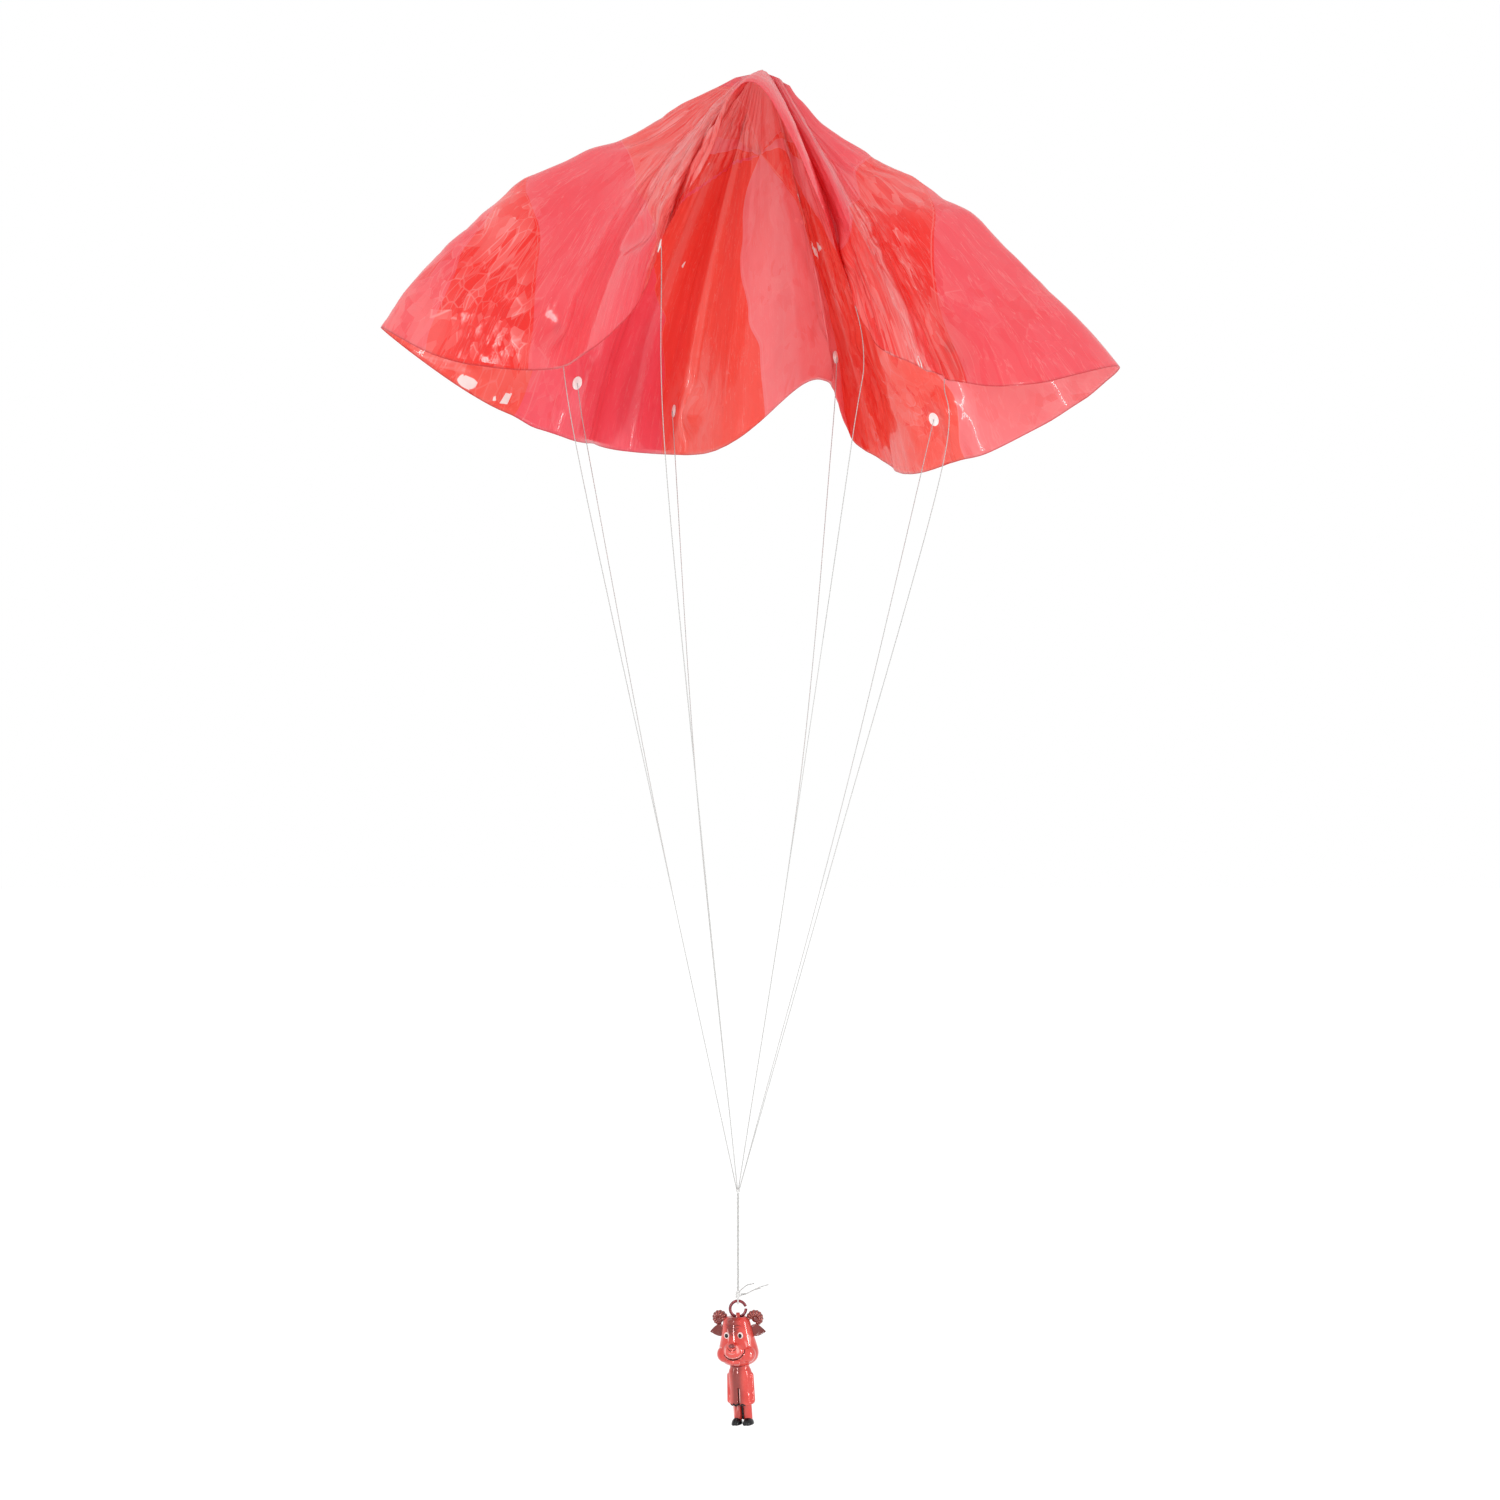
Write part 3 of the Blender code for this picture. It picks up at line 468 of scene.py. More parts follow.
def even_points(points, step):
    """The same line with points an even step apart."""
    total = path_length(points)
    count = max(2, round(total / step) + 1)
    result, travelled, index = [points[0]], 0.0, 0
    for number in range(1, count - 1):
        target = total * number / (count - 1)
        while travelled + (points[index + 1] - points[index]).length < target:
            travelled += (points[index + 1] - points[index]).length
            index += 1
        span = (points[index + 1] - points[index]).length
        result.append(points[index].lerp(points[index + 1], (target - travelled) / span))
    return result + [points[-1]]


def thread_profile(diameter, sides=8):
    """A two-ply thread's outline, as a closed curve to sweep."""
    curve = bpy.data.curves.new("thread_outline", "CURVE")
    spline = curve.splines.new("POLY")
    spline.points.add(sides - 1)
    for index, point in enumerate(spline.points):
        angle = math.tau * index / sides
        radius = diameter / 2 * (1 - PLY_DEPTH_SHARE + PLY_DEPTH_SHARE * math.cos(2 * angle))
        point.co = (radius * math.cos(angle), radius * math.sin(angle), 0, 1)
    spline.use_cyclic_u = True
    return link_object(bpy.data.objects.new("thread_outline", curve))


def twisted_thread(name, points, diameter, pitch, material, radii=None):
    """A mesh tube along the points, its two plies turning once a pitch."""
    curve = bpy.data.curves.new(name, "CURVE")
    curve.dimensions = "3D"
    outline = thread_profile(diameter)
    curve.bevel_mode = "OBJECT"
    curve.bevel_object = outline
    curve.use_fill_caps = True
    curve.twist_mode = "MINIMUM"
    spline = curve.splines.new("POLY")
    spline.points.add(len(points) - 1)
    travelled = 0.0
    for index, (point, place) in enumerate(zip(spline.points, points)):
        travelled += (place - points[index - 1]).length if index else 0.0
        point.co = (*place, 1)
        point.tilt = math.tau * travelled / pitch
        if radii:
            point.radius = radii[index]
    bm = swept_shape(link_object(bpy.data.objects.new(name, curve)))
    bpy.data.objects.remove(outline)
    bmesh.ops.recalc_face_normals(bm, faces=bm.faces)
    return piece_from(name, bm, material)


def torus(bm, major, minor, place, sides=10, steps=32, turn=math.tau):
    """A ring, or part of one, about place's Z axis."""
    circle = bmesh.ops.create_circle(bm, cap_ends=False, segments=sides, radius=minor)["verts"]
    stand = Matrix.Translation((major, 0, 0)) @ Matrix.Rotation(math.pi / 2, 4, "X")
    bmesh.ops.transform(bm, matrix=stand, verts=circle)
    edges = list({edge for vertex in circle for edge in vertex.link_edges})
    before = set(bm.verts) - set(circle)
    whole = abs(turn - math.tau) < 1e-6
    bmesh.ops.spin(bm, geom=circle + edges, cent=(0, 0, 0), axis=(0, 0, 1), angle=turn, steps=steps,
                   use_merge=whole)
    made = [vertex for vertex in bm.verts if vertex not in before]
    if not whole:
        faces = {face for vertex in made for face in vertex.link_faces}
        ends = [edge for face in faces for edge in face.edges if len(edge.link_faces) == 1]
        bmesh.ops.holes_fill(bm, edges=list(set(ends)))
    bmesh.ops.recalc_face_normals(bm, faces=list({face for vertex in made for face in vertex.link_faces}))
    bmesh.ops.transform(bm, matrix=place, verts=made)
    return made


def round_rims(bm, offset, segments):
    """Rounds the sharp edges of a shape's flat ends."""
    rims = [edge for edge in bm.edges if edge.is_manifold and edge.calc_face_angle() > SHARP_TURN]
    bmesh.ops.bevel(bm, geom=rims, offset=offset, segments=segments, affect="EDGES", profile=0.5,
                    material=-1)


def ball(bm, radii, centre, around=32, rows=20):
    made = bmesh.ops.create_uvsphere(bm, u_segments=around, v_segments=rows, radius=1.0)["verts"]
    bmesh.ops.scale(bm, vec=radii, verts=made)
    bmesh.ops.translate(bm, vec=centre, verts=made)
    return made


# The canopy's shape

def smooth_closed(rows, degrees):
    """The rim's place at an angle: a smooth closed curve through the rows."""
    count = len(rows)
    wrapped = degrees % 360.0
    index = max(i for i, row in enumerate(rows) if row[0] <= wrapped)

    def row(step):
        turns, place = divmod(index + step, count)
        return rows[place][0] + 360.0 * turns, rows[place][1:]

    before, start, end, after = row(-1), row(0), row(1), row(2)
    span = end[0] - start[0]
    share = (wrapped - start[0]) / span
    values = []
    for axis in range(3):
        slope_start = (end[1][axis] - before[1][axis]) / (end[0] - before[0]) * span
        slope_end = (after[1][axis] - start[1][axis]) / (after[0] - start[0]) * span
        square, cube = share * share, share ** 3
        values.append((2 * cube - 3 * square + 1) * start[1][axis]
                      + (cube - 2 * square + share) * slope_start
                      + (3 * square - 2 * cube) * end[1][axis]
                      + (cube - square) * slope_end)
    return values


def film_point(share, degrees):
    """A point of the hung film: share 0 at the crown's ridge, 1 at the rim."""
    right, back, down = smooth_closed(RIM_SHARES, degrees)
    angle = math.radians(degrees)
    leftward = -BULGE_LEFT_SHARE * math.cos(angle)
    out = share + (BULGE_OUT_SHARE + leftward) * share ** 2 * (1 - share)
    fall = share - (BULGE_UP_SHARE + leftward) * share * (1 - share)
    ridge = (1 - share) ** 3
    return Vector((
        FILM_RADIUS * right * out + CROWN_RIDGE_HALF_LENGTH * math.cos(angle) * ridge,
        FILM_RADIUS * back * out + CROWN_RIDGE_HALF_WIDTH * math.sin(angle) * ridge,
        -FILM_RADIUS * down * fall,
    ))


def flat_place(share, degrees):
    """Where that point lies on the flat sheet, measured from the sheet's middle."""
    angle = math.radians(degrees)
    held = Vector((0, -HELD_BEFORE_MIDDLE))
    rim = Vector((math.cos(angle), math.sin(angle))) * FILM_RADIUS
    return held.lerp(rim, share)


def smooth_step(value):
    value = min(1.0, max(0.0, value))
    return value * value * (3 - 2 * value)


# noise_vector starts from the clock unless it is given a seed.
CREASE_SEED = 5
# How often the folds and pleats turn, round the crown and on the way out from it
FOLDS_AROUND = 4.5
FOLDS_ALONG = 1.6
PLEATS_AROUND = 13
PLEATS_ALONG = 2.2
PLEAT_SHIFT = (3, 5)
BEND_SIZE = 30 * MM
BEND_SHARE = 0.5
FACET_SIZE = 17 * MM
FACET_EDGE = 1.6
SMALL_FACET_SHARE = 0.42
SMALL_FACETS_PER_FACET = 2.3
AROUND_SHARE = 0.6
ALONG_SHARE = 0.45
# Near the crown the film is calm: how far out that reaches, and where it starts to end
CROWN_CALM_SHARE = 0.08
CROWN_CALM_START = 0.3
FACET_CALM_SHARE = 0.2
FACET_CALM_START = 0.2
# The film's turns are softened by mixing each place with its neighbours: degrees round the sheet,
# then how many degrees away. The two side tips and the notch at the crown stay sharp.
SOFTENING = (
    (0.0, 0.0), (11.0, 3.0), (22.5, 8.0), (34.0, 6.0), (50.0, 3.0), (67.5, 1.5), (90.0, 3.0), (130.0, 4.0),
    (157.0, 5.0), (170.0, 2.5), (180.0, 0.0), (195.0, 4.0), (225.0, 4.0), (250.0, 2.5), (262.0, 0.0),
    (279.0, 0.0), (292.0, 5.0), (326.0, 5.0), (349.0, 2.5), (360.0, 0.0),
)
# How far the film sinks between the crown and each tip: share of the way out, then the drop.
RIGHT_SHOULDER = (
    (0.0, 0.0), (0.06, 4.5 * MM), (0.13, 7.5 * MM), (0.29, 5.5 * MM), (0.4, 1.2 * MM),
    (0.46, 0.4 * MM), (0.56, -3.8 * MM), (0.66, -1.4 * MM), (0.78, 0.0),
)
LEFT_SHOULDER = (
    (0.0, 0.0), (0.15, 2.0 * MM), (0.3, 5.2 * MM), (0.42, 0.9 * MM), (0.57, -1.8 * MM), (0.7, 0.0),
)
SHOULDER_REACH_DEG = 48.0
# How much a place keeps of itself, and takes from its nearer and farther neighbours
OWN_SHARE, NEAR_SHARE, FAR_SHARE = 0.36, 0.46, 0.18
# How far the rim hangs lower: degrees round the sheet, then the drop.
RIM_SAG = (
    (0.0, 0.0), (3.0, 0.5 * MM), (6.5, 2.4 * MM), (10.6, 3.6 * MM), (16.0, 4.4 * MM), (21.0, 2.5 * MM),
    (34.0, 1.6 * MM), (45.0, 0.0), (142.0, 0.0), (157.0, 3.6 * MM), (163.5, 3.2 * MM), (167.0, 0.8 * MM),
    (172.0, 0.0),
)
RIM_SAG_SHARE = 0.75
DOT_REACH = 16 * MM
DOT_FLAT = 3.5 * MM
DOT_GAP = 0.12 * MM


def facet_height(place):
    """Small flat facets with sharp creases between them: 0 at a crease, 1 well inside."""
    distances, _ = noise.voronoi(place)
    return min(1.0, (distances[1] - distances[0]) * FACET_EDGE)


def crumple(film, share, degrees, place, strength):
    """How far the film lies off its smooth shape here."""
    angle = math.radians(degrees)
    around = Vector((math.cos(angle), math.sin(angle), 0))
    folds = noise.noise(around * FOLDS_AROUND + Vector((0, 0, share * FOLDS_ALONG)))
    pleats = noise.noise(around * PLEATS_AROUND + Vector((*PLEAT_SHIFT, share * PLEATS_ALONG)))
    bend = noise.noise_vector(Vector((place.x, place.y, 0)) / BEND_SIZE) * BEND_SHARE
    cell = around * (AROUND_SHARE * FILM_RADIUS / FACET_SIZE)
    cell += Vector((0, 0, ALONG_SHARE * FILM_RADIUS * share / FACET_SIZE))
    facets = facet_height(cell + bend)
    facets += SMALL_FACET_SHARE * facet_height(cell * SMALL_FACETS_PER_FACET + bend * 2)
    facets *= smooth_step(share / FACET_CALM_SHARE - FACET_CALM_START)
    lift = folds * film.fold_height + (1 - 2 * abs(pleats)) * film.pleat_height
    lift += facets * film.facet_height * strength
    return lift * smooth_step(share / CROWN_CALM_SHARE - CROWN_CALM_START)


def row_value(rows, place):
    """The value at a place between rows of (place, value), and the end rows' beyond them."""
    for (start, low), (end, high) in zip(rows, rows[1:]):
        if place < end:
            return low + (high - low) * smooth_step((place - start) / (end - start))
    return rows[-1][1]


def film_drop(share, degrees):
    """How far the film sinks here, beside the crown and at its rim."""
    right = smooth_step(1 - abs((degrees + 180.0) % 360.0 - 180.0) / SHOULDER_REACH_DEG)
    left = smooth_step(1 - abs(degrees % 360.0 - 180.0) / SHOULDER_REACH_DEG)
    drop = right * row_value(RIGHT_SHOULDER, share) + left * row_value(LEFT_SHOULDER, share)
    rim = smooth_step((share - RIM_SAG_SHARE) / (1 - RIM_SAG_SHARE))
    return drop + rim * row_value(RIM_SAG, degrees % 360.0)


def soft_film_point(share, degrees):
    """The hung film with its sharp turns rounded."""
    wrapped = degrees % 360.0
    index = next(i for i, row in enumerate(SOFTENING[1:]) if wrapped <= row[0])
    (start, low), (end, high) = SOFTENING[index:index + 2]
    step = low + (high - low) * (wrapped - start) / (end - start)
    near = (film_point(share, degrees - step) + film_point(share, degrees + step)) / 2
    far = (film_point(share, degrees - 2 * step) + film_point(share, degrees + 2 * step)) / 2
    soft = film_point(share, degrees) * OWN_SHARE + near * NEAR_SHARE + far * FAR_SHARE
    return soft - Vector((0, 0, film_drop(share, degrees)))


def seat_dots(bm):
    """Lays the film flat just behind each dot, and eases it back round about."""
    seats = []
    for number in range(STRING_COUNT):
        middle, _, _, inward = dot_frame(number)
        seats.append((middle - inward * (DOT_WALL / 2 + DOT_GAP), inward))
    for vertex in bm.verts:
        for middle, inward in seats:
            offset = vertex.co - middle
            if offset.length < DOT_REACH:
                share = smooth_step((DOT_REACH - offset.length) / (DOT_REACH - DOT_FLAT))
                vertex.co -= inward * offset.dot(inward) * share


def sheet_uv(place):
    return (0.5 + place.x / SHEET_MAP_WIDTH, 0.5 + place.y / SHEET_MAP_WIDTH)


def canopy_mesh(film):
    """The sheet as a fine grid, hung and creased, with the flat sheet as its UV map."""
    noise.seed_set(CREASE_SEED)
    bm = bmesh.new()
    shares = [FIRST_RING_SHARE + (1 - FIRST_RING_SHARE) * step / FILM_RINGS for step in range(FILM_RINGS + 1)]
    spoke = [bm.verts.new((share * FILM_RADIUS, 0, 0)) for share in shares]
    edges = [bm.edges.new(pair) for pair in zip(spoke, spoke[1:])]
    bmesh.ops.spin(bm, geom=spoke + edges, cent=(0, 0, 0), axis=(0, 0, 1), angle=math.tau,
                   steps=FILM_COLUMNS, use_merge=True)
    hole = [edge for edge in bm.edges if len(edge.link_faces) == 1
            and edge.verts[0].co.length < shares[1] * FILM_RADIUS]
    cap = bmesh.ops.contextual_create(bm, geom=hole)["faces"]
    bmesh.ops.poke(bm, faces=cap)
    lifts, flats, prints = {}, {}, {}
    strengths = bm.verts.layers.float.new("crumple")
    # The next two layers mark painted highlight on the crinkles and white spots of painted glare.
    shine_layer = bm.verts.layers.float.new("frost")
    glare_layer = bm.verts.layers.float.new("scuff")
    for vertex in bm.verts:
        share = vertex.co.length / FILM_RADIUS
        degrees = math.degrees(math.atan2(vertex.co.y, vertex.co.x)) % 360.0
        vertex.co = soft_film_point(share, degrees)
        flats[vertex] = flat_place(share, degrees)
        prints[vertex] = printed_place(flats[vertex])
        vertex[strengths] = crumpled(prints[vertex])
        # Painted highlight patches, then white spots of painted glare.
        vertex[shine_layer] = spotted(flats[vertex], SHINE_PATCHES)
        vertex[glare_layer] = spotted(flats[vertex], GLARE_SPOTS)
        lifts[vertex] = crumple(film, share, degrees, flats[vertex], vertex[strengths])
    bmesh.ops.recalc_face_normals(bm, faces=bm.faces)
    if max(bm.faces, key=lambda face: face.calc_center_median().z).normal.z < 0:
        bmesh.ops.reverse_faces(bm, faces=bm.faces)
    bm.normal_update()
    layer = bm.loops.layers.uv.new("flat_sheet")
    printed = bm.loops.layers.uv.new("print")
    for vertex, normal in [(vertex, vertex.normal.copy()) for vertex in bm.verts]:
        vertex.co += normal * lifts[vertex]
    seat_dots(bm)
    for face in bm.faces:
        for loop in face.loops:
            loop[layer].uv = sheet_uv(flats[loop.vert])
            loop[printed].uv = sheet_uv(prints[loop.vert])
    return bm


# Where each printed panel starts: rows of the share from the sheet's middle to its rim, then degrees.
PANEL_EDGES = (
    ((0.3, 14.0), (0.83, 14.5), (1.0, 19.5)),
    ((0.1, 66.0), (0.35, 58.0), (0.5, 47.0), (0.8, 55.0), (1.0, 58.0)),
    ((0.1, 110.0), (0.35, 99.0), (0.6, 92.0), (0.75, 88.0), (1.0, 87.0)),
    ((0.2, 170.9), (0.45, 170.0), (0.53, 146.0), (0.62, 133.0), (0.8, 124.5), (1.0, 119.0)),
    ((0.5, 171.0), (0.8, 168.5), (1.0, 165.5)),
    ((0.3, 195.0), (0.65, 193.5), (0.8, 190.5), (1.0, 187.5)),
    ((0.3, 199.0), (0.56, 197.0), (0.71, 200.5), (0.9, 200.0), (1.0, 199.5)),
    ((0.4, 217.0), (0.6, 217.0), (0.75, 230.0), (0.88, 238.0), (1.0, 240.0)),
    ((0.3, 255.0), (1.0, 266.0)),
    ((0.4, 317.0), (0.55, 321.0), (0.7, 304.0), (0.9, 287.0), (1.0, 283.0)),
    ((0.4, 332.0), (0.62, 337.5), (0.8, 338.0), (1.0, 340.5)),
)


def printed_place(place):
    """The sheet's flat place turned so that each panel fills an even part of the circle."""
    share = place.length / FILM_RADIUS
    degrees = math.degrees(math.atan2(place.y, place.x)) % 360.0
    edges = [row_value(rows, share) for rows in PANEL_EDGES]
    edges = [edges[-1] - 360.0] + edges + [edges[0] + 360.0]
    index = max(number for number, edge in enumerate(edges[:-1]) if edge <= degrees or number == 0)
    part = (degrees - edges[index]) / (edges[index + 1] - edges[index])
    angle = math.tau * (index - 1 + part) / len(PANEL_EDGES)
    return Vector((math.cos(angle), math.sin(angle))) * place.length


PANEL_BLEND = 3
# Printed panels, from the right-hand back on round: colour outside, colour inside, how crumpled. The inside
# colour is a paler, lit copy of the print: painted light that stands in for light through the film.
PANELS = (
    ("red", "red_inside", 0.7), ("light_pink", "pink_inside", 0.3), ("red", "red_inside", 0.05),
    ("pink", "crimson_inside", 0.1), ("pink", "red_inside", 0.9), ("red", "red_inside", 1.0),
    ("pink", "pink_inside", 0.22), ("coral", "coral_inside", 1.0), ("pink", "coral_inside", 0.25),
    ("red", "red_inside", 0.9), ("pink", "pink_inside", 0.3),
)


SPOT_REACH_SHARE = 1.35
# Where the film gets a painted highlight on its crinkles, on the flat sheet: middle to the right and back,
# reach, share.
SHINE_PATCHES = (
    (95 * MM, -158 * MM, 38 * MM, 1.0), (132 * MM, -132 * MM, 32 * MM, 1.0),
    (160 * MM, -80 * MM, 28 * MM, 0.9), (84 * MM, -54 * MM, 20 * MM, 0.8),
    (-182 * MM, -20 * MM, 24 * MM, 0.6), (-122 * MM, -26 * MM, 16 * MM, 0.7),
    (-70 * MM, -88 * MM, 40 * MM, 0.5), (-60 * MM, 152 * MM, 30 * MM, 0.5),
    (86 * MM, 96 * MM, 30 * MM, 0.4),
)
# Small white spots of painted glare on the crinkled film, in the same terms.
GLARE_SPOTS = (
    (-184 * MM, 27 * MM, 5 * MM, 0.8), (-182 * MM, 38 * MM, 5 * MM, 0.8), (36 * MM, 28 * MM, 4 * MM, 0.9),
    (54 * MM, 50 * MM, 6 * MM, 0.9), (58 * MM, 38 * MM, 4 * MM, 0.8), (140 * MM, -126 * MM, 4 * MM, 0.9),
    (-63 * MM, 57 * MM, 3 * MM, 0.8), (-40 * MM, -10 * MM, 5 * MM, 0.7),
)


def spotted(place, spots):
    """The strongest of these round spots at a place on the flat sheet."""
    return max(share * smooth_step(SPOT_REACH_SHARE - (place - Vector((x, y))).length / reach)
               for x, y, reach, share in spots)


def crumpled(print_place):
    """How crumpled the film is here, from one panel's middle to the next."""
    turn = math.atan2(print_place.y, print_place.x) / math.tau % 1.0 * len(PANELS) - 0.5
    panel = math.floor(turn)
    first, second = PANELS[panel % len(PANELS)][2], PANELS[(panel + 1) % len(PANELS)][2]
    share = smooth_step((turn - panel - 0.5) * PANEL_BLEND + 0.5)
    return first + (second - first) * share


# The film's wrinkle cells, wide to fine: cells per mm, height, width and strength of their creases, whose
# pale lines are painted highlight
WRINKLE_CELLS = ((0.11, 0.8, 0.025, 0.50), (0.25, 0.35, 0.05, 0.42), (0.52, 0.12, 0.08, 0.36))
# Cells and streaks are drawn out along the way from where the sheet is held.
AROUND_SPREAD = 130.0
CELL_SPREAD = 0.24
STREAK_SPREAD = 0.07
CELL_WANDER = 12.0
STREAK_HEIGHT = 0.35
# How much the small and fine facets lighten, as painted highlight, and the most that any place lightens.
SMALL_FACET_TONE, FINE_FACET_TONE = 0.28, 0.23
PALEST_SHARE = 0.85


def wrinkle_cells(tree, place, scale):
    """Cells of one size: how far their middles and edges are, and a tone for each."""
    near = add(tree, "TexVoronoi", {"Vector": place, "Scale": scale})
    edge = add(tree, "TexVoronoi", {"Vector": place, "Scale": scale}, feature="DISTANCE_TO_EDGE")
    tone = add(tree, "SeparateColor", {0: near.outputs["Color"]}).outputs[0]
    return near.outputs["Distance"], edge.outputs["Distance"], tone


def wrinkle_group():
    """The film's fine wrinkles: their height, pale creases and facets of painted highlight, deep facets of
    painted shade, white spots of painted glare and mottling.
    """
    tree, given, result = group_tree(
        "film_wrinkles", [("Sheet", "Vector", None), ("Crumple", "Float", 0.5), ("Frost", "Float", 0.0),
                          ("Scuff", "Float", 0.0)],
        [("Height", "Float"), ("Pale", "Float"), ("Deep", "Float"), ("White", "Float"), ("Mottle", "Float")])
    sheet = given["Sheet"]
    away = vector(tree, "SUBTRACT", sheet, (0, -HELD_BEFORE_MIDDLE / MM, 0))
    far = length_of(tree, away)
    heading = add(tree, "VectorMath", {0: vector(tree, "NORMALIZE", away), "Scale": AROUND_SPREAD},
                  operation="SCALE").outputs[0]
    parts = add(tree, "SeparateXYZ", {0: heading}).outputs

    def drawn_out(spread):
        return add(tree, "CombineXYZ", {"X": parts["X"], "Y": parts["Y"],
                                        "Z": calc(tree, "MULTIPLY", far, spread)}).outputs[0]

    wander = add(tree, "TexNoise", {"Vector": sheet, "Scale": 0.03, "Detail": 0.0}).outputs["Color"]
    bent = add(tree, "VectorMath", {0: wander, 1: [CELL_WANDER] * 3, 2: drawn_out(CELL_SPREAD)},
               operation="MULTIPLY_ADD").outputs[0]
    streaks = noise_at(tree, drawn_out(STREAK_SPREAD), 0.42, 3.0, 0.65, 0.6)
    patch = fade(tree, noise_at(tree, sheet, 0.028, 2.0), 0.38, 0.62)
    patchy = calc(tree, "ADD", calc(tree, "MULTIPLY", patch, 0.7), 0.3)
    crumple = calc(tree, "MULTIPLY", given["Crumple"], patchy)

    middles, edges, tones = zip(*(wrinkle_cells(tree, bent, row[0]) for row in WRINKLE_CELLS))
    height, lines = 0.0, 0.0
    for index, (_, rise, width, share) in enumerate(WRINKLE_CELLS):
        height = calc(tree, "ADD", height, calc(tree, "MULTIPLY", middles[index], rise))
        some = fade(tree, tones[(index + 1) % len(tones)], 0.55, 0.9)
        line = calc(tree, "MULTIPLY", fade(tree, edges[index], 0.0, width, share, 0.0), some)
        lines = calc(tree, "MAXIMUM", lines, line)
    height = calc(tree, "MULTIPLY", height, crumple)
    height = calc(tree, "ADD", height, calc(tree, "MULTIPLY", streaks, STREAK_HEIGHT))
    tree.links.new(height, result["Height"])

    # Painted light: the pale facets, crease lines, haze and thin streaks are painted highlights on the
    # crinkles, the deep facets painted shade, the white spots painted glare.
    wide_tone, small_tone, fine_tone = tones
    both_tones = calc(tree, "ADD", small_tone, fine_tone)
    facets = calc(tree, "ADD", calc(tree, "MULTIPLY", fade(tree, small_tone, 0.55, 0.95), SMALL_FACET_TONE),
                  calc(tree, "MULTIPLY", fade(tree, fine_tone, 0.5, 1.0), FINE_FACET_TONE))
    pale = calc(tree, "MULTIPLY", calc(tree, "ADD", lines, facets), crumple)
    haze = calc(tree, "MULTIPLY", given["Frost"], fade(tree, both_tones, 0.3, 1.6, 0.12, 0.55))
    thin = fade(tree, calc(tree, "ABSOLUTE", calc(tree, "SUBTRACT", streaks, 0.56)), 0.0, 0.02, 0.24, 0.0)
    pale = calc(tree, "MAXIMUM", calc(tree, "MAXIMUM", pale, haze), thin)
    tree.links.new(calc(tree, "MINIMUM", pale, PALEST_SHARE), result["Pale"])
    deep = calc(tree, "MAXIMUM", fade(tree, wide_tone, 0.35, 0.05, 0.0, 0.6),
                fade(tree, both_tones, 0.75, 0.3, 0.0, 0.8))
    tree.links.new(calc(tree, "MULTIPLY", deep, crumple), result["Deep"])
    # White spots of painted glare, their edges broken up by the cell tones.
    glare_breakup = calc(tree, "ADD", calc(tree, "MULTIPLY", small_tone, 0.4), calc(tree, "MULTIPLY", fine_tone, 0.6))
    white = fade(tree, calc(tree, "ADD", given["Scuff"], glare_breakup), 1.25, 1.30)
    tree.links.new(calc(tree, "MULTIPLY", white, fade(tree, given["Scuff"], 0.15, 0.4)), result["White"])
    tree.links.new(noise_at(tree, sheet, 0.05, 3.0), result["Mottle"])
    return tree


# The pale line where two panels meet and the darker cut edge, each from full to gone. The darker cut edge is
# painted shade along the film's edge.
SEAM_WIDTHS_MM = (0.25, 0.6)
SEAM_SHARE = 0.30
CUT_EDGE_WIDTHS_MM = (0.7, 0.3)
CUT_EDGE_SHARE = 0.55


